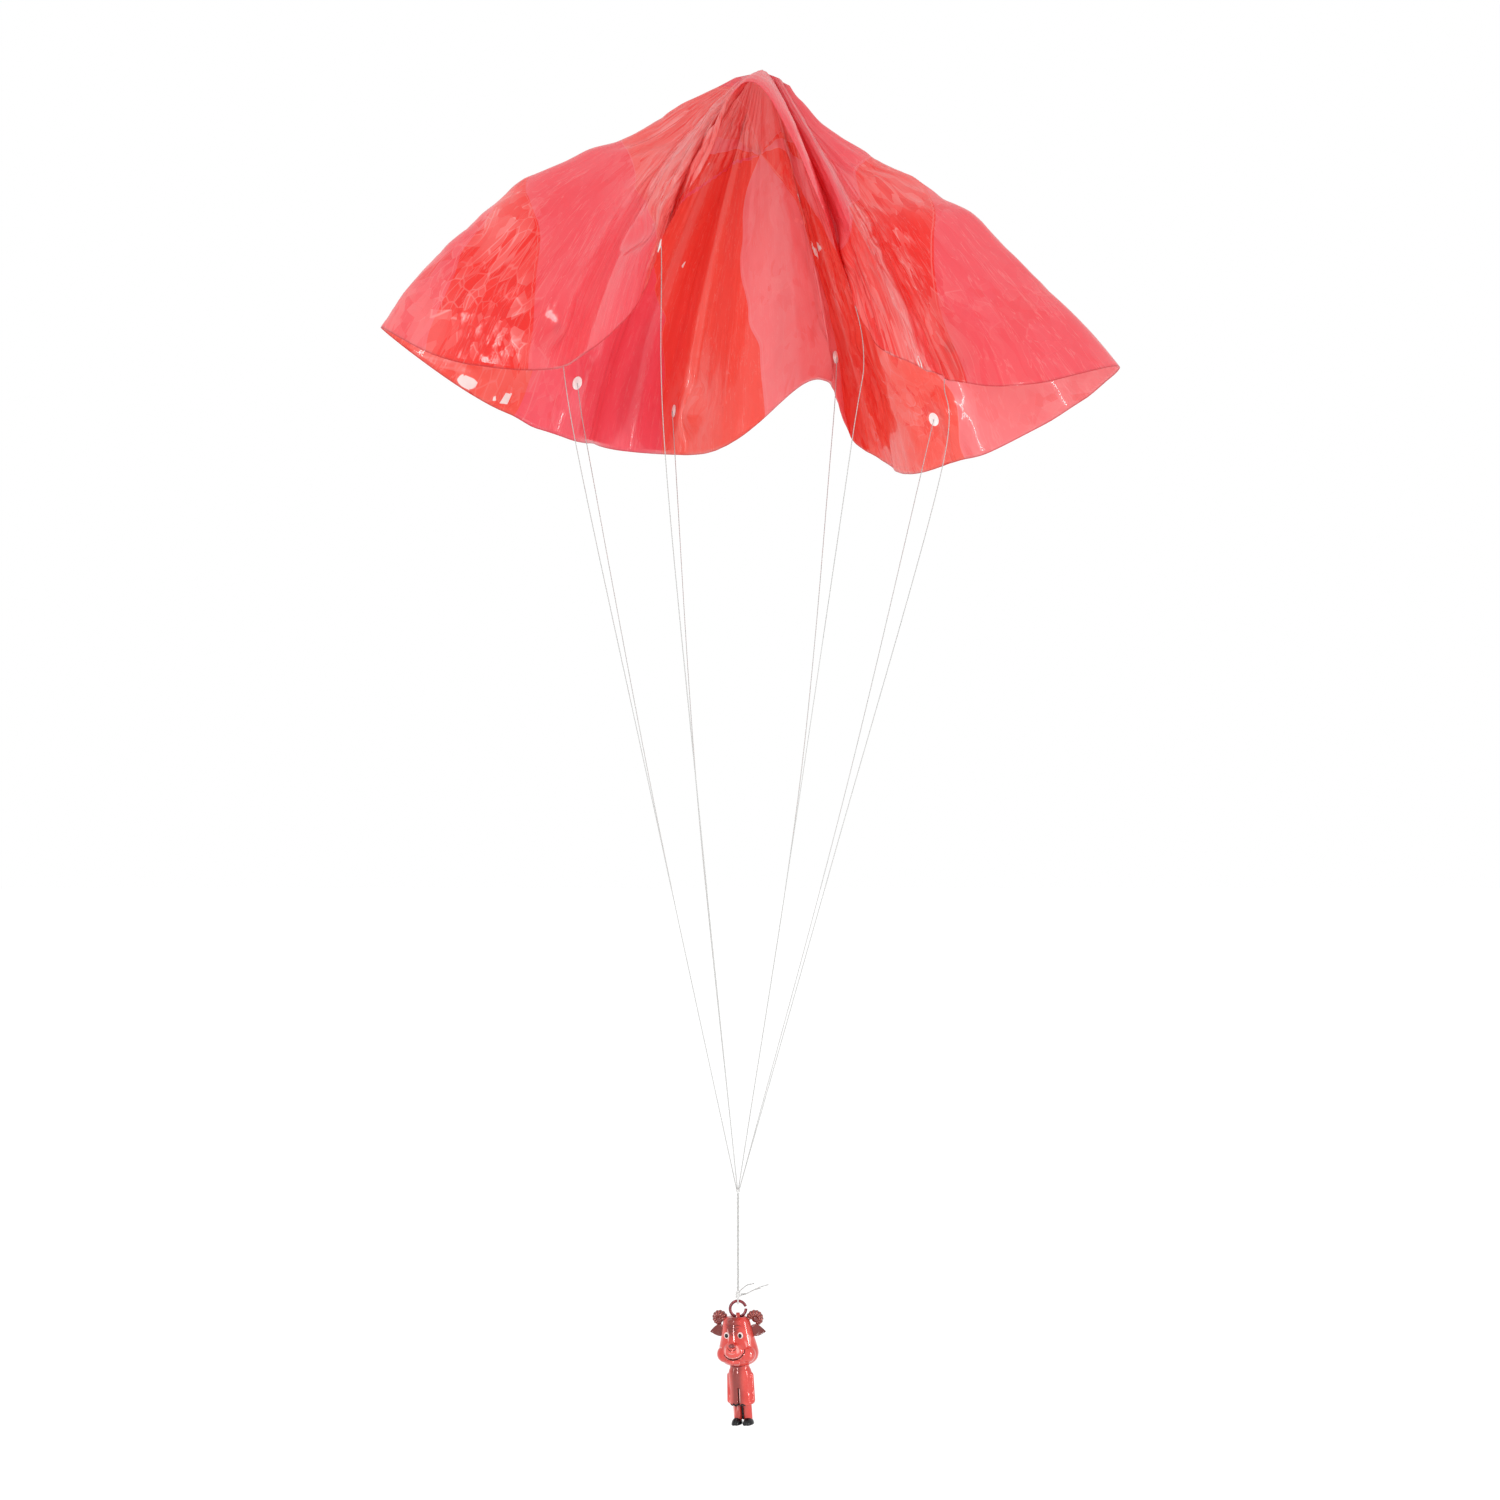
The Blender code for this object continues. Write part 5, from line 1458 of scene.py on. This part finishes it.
def hoof_shape(side):
    """Half an egg, flat at the sole and cleft in front."""
    bm = bmesh.new()
    ball(bm, HOOF_RADII, (side * (LEG_X + HOOF_OUT), -HOOF_FORWARD, SOLE_Z), 40, 28)
    bmesh.ops.bisect_plane(bm, geom=list(bm.verts) + list(bm.edges) + list(bm.faces), clear_outer=True,
                           plane_co=(0, 0, SOLE_Z), plane_no=(0, 0, -1), dist=0.0001 * MM)
    bmesh.ops.holes_fill(bm, edges=[edge for edge in bm.edges if len(edge.link_faces) == 1])
    bmesh.ops.recalc_face_normals(bm, faces=bm.faces)
    middle = side * (LEG_X + HOOF_OUT)
    for vertex in bm.verts:
        near = 1 - min(1.0, abs(vertex.co.x - middle) / CLEFT_HALF_WIDTH)
        if vertex.co.y < -HOOF_FORWARD:
            front = smooth_step(-(vertex.co.y + HOOF_FORWARD) / CLEFT_REACH)
            vertex.co.y += CLEFT_DEPTH * smooth_step(near) * front
    return on_figure(bm)


def on_surface(body, x, z, lift):
    """The body's front at this place of the figure's own frame, lifted a little."""
    frame_matrix = figure_frame()
    start = frame_matrix @ Vector((x, -WELL_BEFORE, z))
    way = (frame_matrix.to_3x3() @ Vector((0, 1, 0))).normalized()
    hit, place, normal, _ = body.ray_cast(start, way)
    if not hit:
        raise RuntimeError("a face line misses the figure")
    return place + normal * lift


def surface_line(body, name, route, diameter, material, lift=0.0, taper=True):
    """A raised painted line that follows the body's front."""
    rows = catmull_rom([Vector((x, 0, z)) for x, z in route], LINE_POINTS)
    points = [on_surface(body, row.x, row.z, lift) for row in rows]
    points = even_points(points, LINE_STEP)
    count = len(points) - 1
    radii = [0.35 + 0.65 * math.sqrt(max(0.0, math.sin(math.pi * index / count))) if taper else 1.0
             for index in range(count + 1)]
    return twisted_thread(name, points, diameter, 1.0, material, radii)


# Where the moulding turns brown down its front, each from start to end of a soft edge. On the forehead this
# is brown paint; down the coat's front it is a painted dark reflection.
BROWN_TO_LEFT = 0.6 * MM
BROWN_Y = (-4.5 * MM, 2.0 * MM)
BROWN_HALF_WIDTHS = (0.8 * MM, 3.6 * MM)
CHIN_Z = (-18.0 * MM, -20.0 * MM)
FOREHEAD_Z = (-8.5 * MM, -4.5 * MM)


def figure_material(figure, wear):
    """Glossy red moulding, browner down its front, coral at its sides: the brown is paint on the forehead and
    a painted dark reflection down the coat, and the pale streaks are painted highlights.
    """
    material, tree, shader = new_material("ram_red", 0.18, 0.15, Coat_Weight=0.5, Coat_Roughness=0.05)
    place = add(tree, "TexCoord").outputs["Object"]
    own = add(tree, "Mapping", {"Vector": place, "Location": figure_frame().inverted().to_translation(),
                                "Rotation": figure_frame().inverted().to_euler()}).outputs[0]
    parts = add(tree, "SeparateXYZ", {0: own}).outputs
    worn = use_group(tree, wear, Size=800.0)
    side = calc(tree, "ABSOLUTE", calc(tree, "ADD", parts["X"], BROWN_TO_LEFT))
    front = fade(tree, parts["Y"], *BROWN_Y, 1.0, 0.0)
    middle = calc(tree, "MULTIPLY", fade(tree, side, *BROWN_HALF_WIDTHS, 1.0, 0.0), front)
    below_chin = fade(tree, parts["Z"], *CHIN_Z)
    forehead = fade(tree, parts["Z"], *FOREHEAD_Z)
    # Painted dark reflection below the chin, brown paint on the forehead.
    brown_and_dark_reflection = calc(tree, "MULTIPLY", middle, calc(tree, "MAXIMUM", below_chin, forehead))
    colour = blend_colour(tree, worn["Tone"], figure.dark, figure.light)
    colour = blend_colour(tree, calc(tree, "MULTIPLY", brown_and_dark_reflection, 0.85), colour, figure.brown_and_dark_reflection)
    # Pale streaks of painted highlight, drawn out upright.
    upright = vector(tree, "MULTIPLY", own, (1.0, 1.0, 0.22))
    painted_highlight = fade(tree, noise_at(tree, upright, 420.0, 2.0, 0.5, 0.5), 0.60, 0.68, 0.0, 0.5)
    colour = blend_colour(tree, painted_highlight, colour, figure.painted_highlight)
    rough = fade(tree, worn["Rough"], 0.0, 1.0, 0.08, 0.18)
    dress(tree, shader, colour, worn["Grain"], 0.04 * MM, 0.3, rough)
    return material


def small_paint(name, tone, roughness, wear, coat=0.5, size=1100.0):
    """Glossy paint for a small part, a little deeper here and there."""
    material, tree, shader = new_material(name, roughness, 0.0, Coat_Weight=coat, Coat_Roughness=0.08,
                                          Specular_IOR_Level=min(0.5, 0.25 + coat / 2))
    worn = use_group(tree, wear, Size=size)
    deeper = [channel * 0.7 for channel in tone[:3]] + [1.0]
    colour = blend_colour(tree, worn["Tone"], deeper, tuple(tone))
    rough = fade(tree, worn["Rough"], 0.0, 1.0, roughness * 0.7, roughness * 1.5)
    dress(tree, shader, colour, worn["Grain"], 0.03 * MM, 0.3, rough)
    return material


HORN_SHADE = (0.13, 0.011, 0.012, 1)
HORN_HOLLOW_SHADE = (0.02, 0.003, 0.004, 1)


def horn_material(figure, wear):
    """Dark horn with light worn ribs, and painted shade in the hollows between them."""
    material, tree, shader = new_material("ram_horn", 0.2, 0.3, Coat_Weight=0.7, Coat_Roughness=0.07)
    worn = use_group(tree, wear, Size=1000.0)
    pointed = add(tree, "NewGeometry").outputs["Pointiness"]
    edges = fade(tree, pointed, 0.50, 0.60)
    # Painted shade in the hollows between the ribs.
    hollows = fade(tree, pointed, 0.48, 0.40)
    colour = blend_colour(tree, worn["Tone"], HORN_SHADE, figure.horn)
    colour = blend_colour(tree, calc(tree, "MULTIPLY", edges, 0.6), colour, figure.horn_rib)
    colour = blend_colour(tree, calc(tree, "MULTIPLY", hollows, 0.8), colour, HORN_HOLLOW_SHADE)
    rough = fade(tree, worn["Rough"], 0.0, 1.0, 0.14, 0.3)
    dress(tree, shader, colour, worn["Grain"], 0.03 * MM, 0.3, rough)
    return material


# Painted lines: name, points to the right and up in mm, width in mm
BLACK_LINES = (
    ("mouth_line", ((-4.1, -13.7), (-2.2, -15.2), (0.2, -15.6), (2.6, -15.0), (4.4, -13.2), (4.7, -11.8)),
     0.62),
    ("nose_crease", ((-1.9, -10.9), (-1.1, -11.6), (0.0, -11.9), (1.1, -11.6), (1.9, -10.9)), 0.30),
    # Painted shade: the black slit line fills the coat's slit and the black hem line lies in the shade under
    # the coat's hem.
    ("slit_line", ((0.0, -27.7), (0.0, -30.0), (0.0, -32.4), (0.0, -34.2)), 0.62),
    ("hem_line", ((-3.9, -34.2), (-3.1, -34.8), (-2.3, -34.1), (-1.4, -34.8), (-0.5, -34.2), (0.5, -34.8),
                  (1.4, -34.2), (2.4, -34.8)), 0.95),
)
WINE_LINES = (
    ("hair_line_1", ((-3.4, -2.2), (-2.2, -2.8), (-1.0, -2.4), (0.2, -2.9), (1.6, -2.5), (3.2, -3.0)), 0.42),
    ("hair_line_2", ((-3.0, -3.4), (-1.8, -3.9), (-0.5, -3.5), (0.7, -4.0), (2.5, -3.6)), 0.42),
    ("hair_line_3", ((-2.0, -4.6), (-0.8, -5.0), (0.4, -4.6), (1.7, -5.0)), 0.36),
    ("hair_line_4", ((-1.0, -5.8), (-0.2, -6.2), (0.9, -5.8)), 0.32),
    ("neck_line", ((-3.1, -19.0), (-1.5, -19.3), (0.2, -19.4), (1.8, -19.3), (3.3, -19.0)), 0.42),
)
# Painted highlights: pale lines above the mouth, on the muzzle and beside the slit.
HIGHLIGHT_LINES = (
    ("teeth_line", ((-3.6, -13.2), (-2.0, -14.5), (0.2, -14.9), (2.3, -14.4), (3.6, -13.2)), 0.36),
    ("muzzle_gleam", ((-1.7, -12.4), (-0.9, -12.9), (0.2, -13.1), (1.3, -12.9)), 0.30),
    ("slit_gleam", ((0.55, -28.0), (0.50, -30.0), (0.50, -32.0), (0.45, -33.6)), 0.34),
)


def make_figure(figure, wear):
    """The ram's moulding with its lug."""
    body = make_figure_body(figure_material(figure, wear))
    stand_in(body, "figure", "figure")


def make_figure_details(figure, wear):
    """Eyes, ears, horns, hooves, nose and painted lines, set on the moulding, with painted shade in the slit,
    under the hem and between the legs, and painted highlight lines.
    """
    body = bpy.data.objects.get("ram_body")
    if body is None:
        raise RuntimeError("the ram's body comes before its details")
    white = small_paint("eye_paint", figure.eye, 0.15, wear)
    black = small_paint("black_paint", figure.black, 0.3, wear, coat=0.05)
    wine = small_paint("wine_paint", figure.wine, 0.16, wear)
    # Painted highlight for the pale lines.
    pale = small_paint("pearl_paint", figure.painted_highlight, 0.15, wear)
    ear_paint = small_paint("ear_paint", figure.ear, 0.22, wear, coat=0.3)
    horn = horn_material(figure, wear)
    details = []
    for side, word in ((-1, "left"), (1, "right")):
        details.append(piece_from(f"{word}_eye", eye_shape(side, 1.0, 0.0), white))
        details.append(piece_from(f"{word}_pupil", eye_shape(side, PUPIL_SHARE, PUPIL_FORWARD), black))
        details.append(piece_from(f"{word}_ear", ear_shape(figure.ear_length, side), ear_paint))
        details.append(horn_piece(figure.horn_ribs, side, f"{word}_horn", horn))
        details.append(piece_from(f"{word}_hoof", hoof_shape(side), black))
    bm = bmesh.new()
    ball(bm, NOSE_RADII, NOSE_MIDDLE, 32, 20)
    details.append(piece_from("ram_nose", on_figure(bm), wine))
    # Painted shade: a black rod fills the gap between the legs, where shade falls.
    bm = bmesh.new()
    capsule(bm, LEG_GAP_SHADE_RADIUS, Vector((0, 0.5 * MM, SOLE_Z + 2 * MM)), Vector((0, 0.5 * MM, COAT_HEM_Z)))
    details.append(piece_from("inner_legs", on_figure(bm), black))
    for lines, line_paint in ((BLACK_LINES, black), (WINE_LINES, wine), (HIGHLIGHT_LINES, pale)):
        for name, route, width in lines:
            places = [(x * MM, z * MM) for x, z in route]
            details.append(surface_line(body, name, places, width * MM, line_paint))
    for item in details:
        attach(item, "figure")


# Stage, in metres
DISC_SIZE = 0.30
STRIP_WIDTH = 0.03
STRIP_HEIGHT = 0.26
FIGURE_CHEST = (-0.01, 0, -0.52)
FLOOR_HALF_WIDTH = 6.0
# How bright the floor glows by itself, and for what share of the rays that see it
FLOOR_GLOW = 1.25
FLOOR_GLOW_SHARE = 0.6


def lamp(name, place, target, size, energy, height=None):
    """A soft disc, or an upright strip where a height is given."""
    data = bpy.data.lights.new(name, "AREA")
    data.shape = "RECTANGLE" if height else "DISK"
    data.size = size
    if height:
        data.size_y = height
    data.energy = energy
    item = link_object(bpy.data.objects.new(name, data))
    item.location = place
    item.rotation_euler = (Vector(target) - Vector(place)).to_track_quat("-Z", "Y").to_euler()
    return item


def seen_share(tree):
    """1 for rays that see a surface straight, mirrored or through something, else 0."""
    path = add(tree, "LightPath").outputs
    return calc(tree, "MAXIMUM", path["Is Camera Ray"],
                calc(tree, "MAXIMUM", path["Is Glossy Ray"], path["Is Transmission Ray"]))


def make_stage(studio):
    """Camera, white surroundings, pale floor and lamps."""
    scene = bpy.context.scene
    scene.view_settings.view_transform = "Standard"
    data = bpy.data.cameras.new("photo_camera")
    data.lens = studio.lens
    data.sensor_width = 36.0
    camera = link_object(bpy.data.objects.new("photo_camera", data))
    camera.location = studio.camera
    camera.rotation_euler = (math.pi / 2, 0, 0)
    scene.camera = camera

    world = bpy.data.worlds.new("studio")
    scene.world = world
    world.use_nodes = True
    tree = world.node_tree
    light = tree.nodes["Background"]
    light.inputs["Color"].default_value = (1, 1, 1, 1)
    light.inputs["Strength"].default_value = studio.world
    seen = add(tree, "Background", {"Color": (1, 1, 1, 1), "Strength": 1.0})
    both = add(tree, "MixShader", {0: seen_share(tree), 1: light.outputs[0], 2: seen.outputs[0]})
    tree.links.new(both.outputs[0], tree.nodes["World Output"].inputs["Surface"])

    bm = bmesh.new()
    bmesh.ops.create_grid(bm, x_segments=1, y_segments=1, size=FLOOR_HALF_WIDTH)
    bmesh.ops.translate(bm, vec=(0, 0, CAD_BOX[0].z - studio.floor_below), verts=bm.verts)
    material = bpy.data.materials.new("pale_floor")
    material.use_nodes = True
    tree = material.node_tree
    shader = tree.nodes["Principled BSDF"]
    shader.inputs["Base Color"].default_value = (0.86, 0.86, 0.86, 1)
    shader.inputs["Roughness"].default_value = 0.9
    shader.inputs["Specular IOR Level"].default_value = 0.0
    glow = add(tree, "Emission", {"Color": (1, 1, 1, 1), "Strength": FLOOR_GLOW})
    share = calc(tree, "MULTIPLY", seen_share(tree), FLOOR_GLOW_SHARE)
    both = add(tree, "MixShader", {0: share, 1: shader.outputs[0], 2: glow.outputs[0]})
    tree.links.new(both.outputs[0], tree.nodes["Material Output"].inputs["Surface"])
    piece_from("floor", bm, material, smooth=False)

    lamp("key", (-0.9, -1.3, 0.6), (0, 0, -0.2), DISC_SIZE, studio.key)
    lamp("fill", (1.2, -0.9, 0.1), (0, 0, -0.3), DISC_SIZE, studio.fill)
    lamp("left_strip", (-0.36, -0.52, -0.43), FIGURE_CHEST, STRIP_WIDTH, studio.strip, STRIP_HEIGHT)
    lamp("right_strip", (0.50, -0.34, -0.44), FIGURE_CHEST, STRIP_WIDTH, studio.strip, STRIP_HEIGHT)


# Operators and panel

def thread_of(thread, fine=False):
    """The material of the thin strings, or of the cords, made once."""
    name, tone = ("fine_thread", thread.fine) if fine else ("white_thread", thread.light)
    return bpy.data.materials.get(name) or thread_material(name, tone, thread.groove_shade)


def wear_of():
    """The wear that all hard pieces share, made once."""
    return bpy.data.node_groups.get("fine_wear") or wear_group()


class PARACHUTE_OT_stage(bpy.types.Operator):
    """Camera, lamps, pale world and floor"""
    bl_idname = "parachute.stage"
    bl_label = "Stage"

    def execute(self, context):
        make_stage(context.scene.parachute_studio)
        return {"FINISHED"}


class PARACHUTE_OT_strings(bpy.types.Operator):
    """Eight twisted strings from their stickers to the gathering knot"""
    bl_idname = "parachute.strings"
    bl_label = "Strings"

    def execute(self, context):
        thread = context.scene.parachute_thread
        for number in range(STRING_COUNT):
            make_string(thread, number, thread_of(thread, fine=True))
        return {"FINISHED"}


class PARACHUTE_OT_riser(bpy.types.Operator):
    """Both knots, the riser between them and its three cut ends"""
    bl_idname = "parachute.riser"
    bl_label = "Knots and riser"

    def execute(self, context):
        thread, ring = context.scene.parachute_thread, context.scene.parachute_ring
        material = thread_of(thread)
        make_gather_knot(thread, material)
        riser, path = make_riser(thread, material)
        knot = make_ring_knot(thread, ring, material)
        ends = make_loose_ends(thread, thread_of(thread, fine=True))
        return {"FINISHED"}


class PARACHUTE_OT_canopy(bpy.types.Operator):
    """The printed film, hung by its crown"""
    bl_idname = "parachute.canopy"
    bl_label = "Film canopy"

    def execute(self, context):
        make_canopy(context.scene.parachute_film)
        return {"FINISHED"}


class PARACHUTE_OT_stickers(bpy.types.Operator):
    """Eight white stickers that hold the strings' upper ends"""
    bl_idname = "parachute.stickers"
    bl_label = "Stickers"

    def execute(self, context):
        thread = context.scene.parachute_thread
        material = dot_material(thread)
        for number in range(STRING_COUNT):
            make_dot(thread, number, material)
        return {"FINISHED"}


class PARACHUTE_OT_ring(bpy.types.Operator):
    """The open ring of coated wire"""
    bl_idname = "parachute.ring"
    bl_label = "Open ring"

    def execute(self, context):
        make_ring(context.scene.parachute_ring, wear_of())
        return {"FINISHED"}


class PARACHUTE_OT_figure(bpy.types.Operator):
    """The ram's moulding, with the lug that hangs in the ring"""
    bl_idname = "parachute.figure"
    bl_label = "Ram"

    def execute(self, context):
        make_figure(context.scene.parachute_figure, wear_of())
        return {"FINISHED"}


class PARACHUTE_OT_figure_details(bpy.types.Operator):
    """The ram's eyes, ears, horns, hooves, nose and painted lines, with painted shade and painted highlights
    """
    bl_idname = "parachute.figure_details"
    bl_label = "Ram's details"

    def execute(self, context):
        make_figure_details(context.scene.parachute_figure, wear_of())
        return {"FINISHED"}


SETTINGS = {
    "parachute_film": PARACHUTE_film, "parachute_thread": PARACHUTE_thread, "parachute_ring": PARACHUTE_ring,
    "parachute_figure": PARACHUTE_figure, "parachute_studio": PARACHUTE_studio,
}
OPERATORS = (
    PARACHUTE_OT_stage, PARACHUTE_OT_strings, PARACHUTE_OT_riser, PARACHUTE_OT_canopy, PARACHUTE_OT_stickers,
    PARACHUTE_OT_ring, PARACHUTE_OT_figure, PARACHUTE_OT_figure_details,
)


class PARACHUTE_PT_pieces(bpy.types.Panel):
    """The pieces of the toy parachute and their sizes and colours"""
    bl_idname = "PARACHUTE_PT_pieces"
    bl_label = "Toy parachute"
    bl_space_type = "VIEW_3D"
    bl_region_type = "UI"
    bl_category = "Parachute"

    def draw(self, context):
        column = self.layout.column(align=True)
        for operator in OPERATORS:
            column.operator(operator.bl_idname)
        for name, group in SETTINGS.items():
            box = self.layout.box()
            box.label(text=group.__doc__)
            for key in group.__annotations__:
                box.prop(getattr(context.scene, name), key)


def register():
    for item in (*SETTINGS.values(), *OPERATORS, PARACHUTE_PT_pieces):
        bpy.utils.register_class(item)
    for name, group in SETTINGS.items():
        setattr(bpy.types.Scene, name, bpy.props.PointerProperty(type=group))


def unregister():
    for name in SETTINGS:
        delattr(bpy.types.Scene, name)
    for item in reversed((*SETTINGS.values(), *OPERATORS, PARACHUTE_PT_pieces)):
        bpy.utils.unregister_class(item)


def main():
    register()
    bpy.ops.parachute.stage()
    bpy.ops.parachute.strings()
    bpy.ops.parachute.riser()
    bpy.ops.parachute.canopy()
    bpy.ops.parachute.stickers()
    bpy.ops.parachute.ring()
    bpy.ops.parachute.figure()
    bpy.ops.parachute.figure_details()


if __name__ == "__main__":
    main()
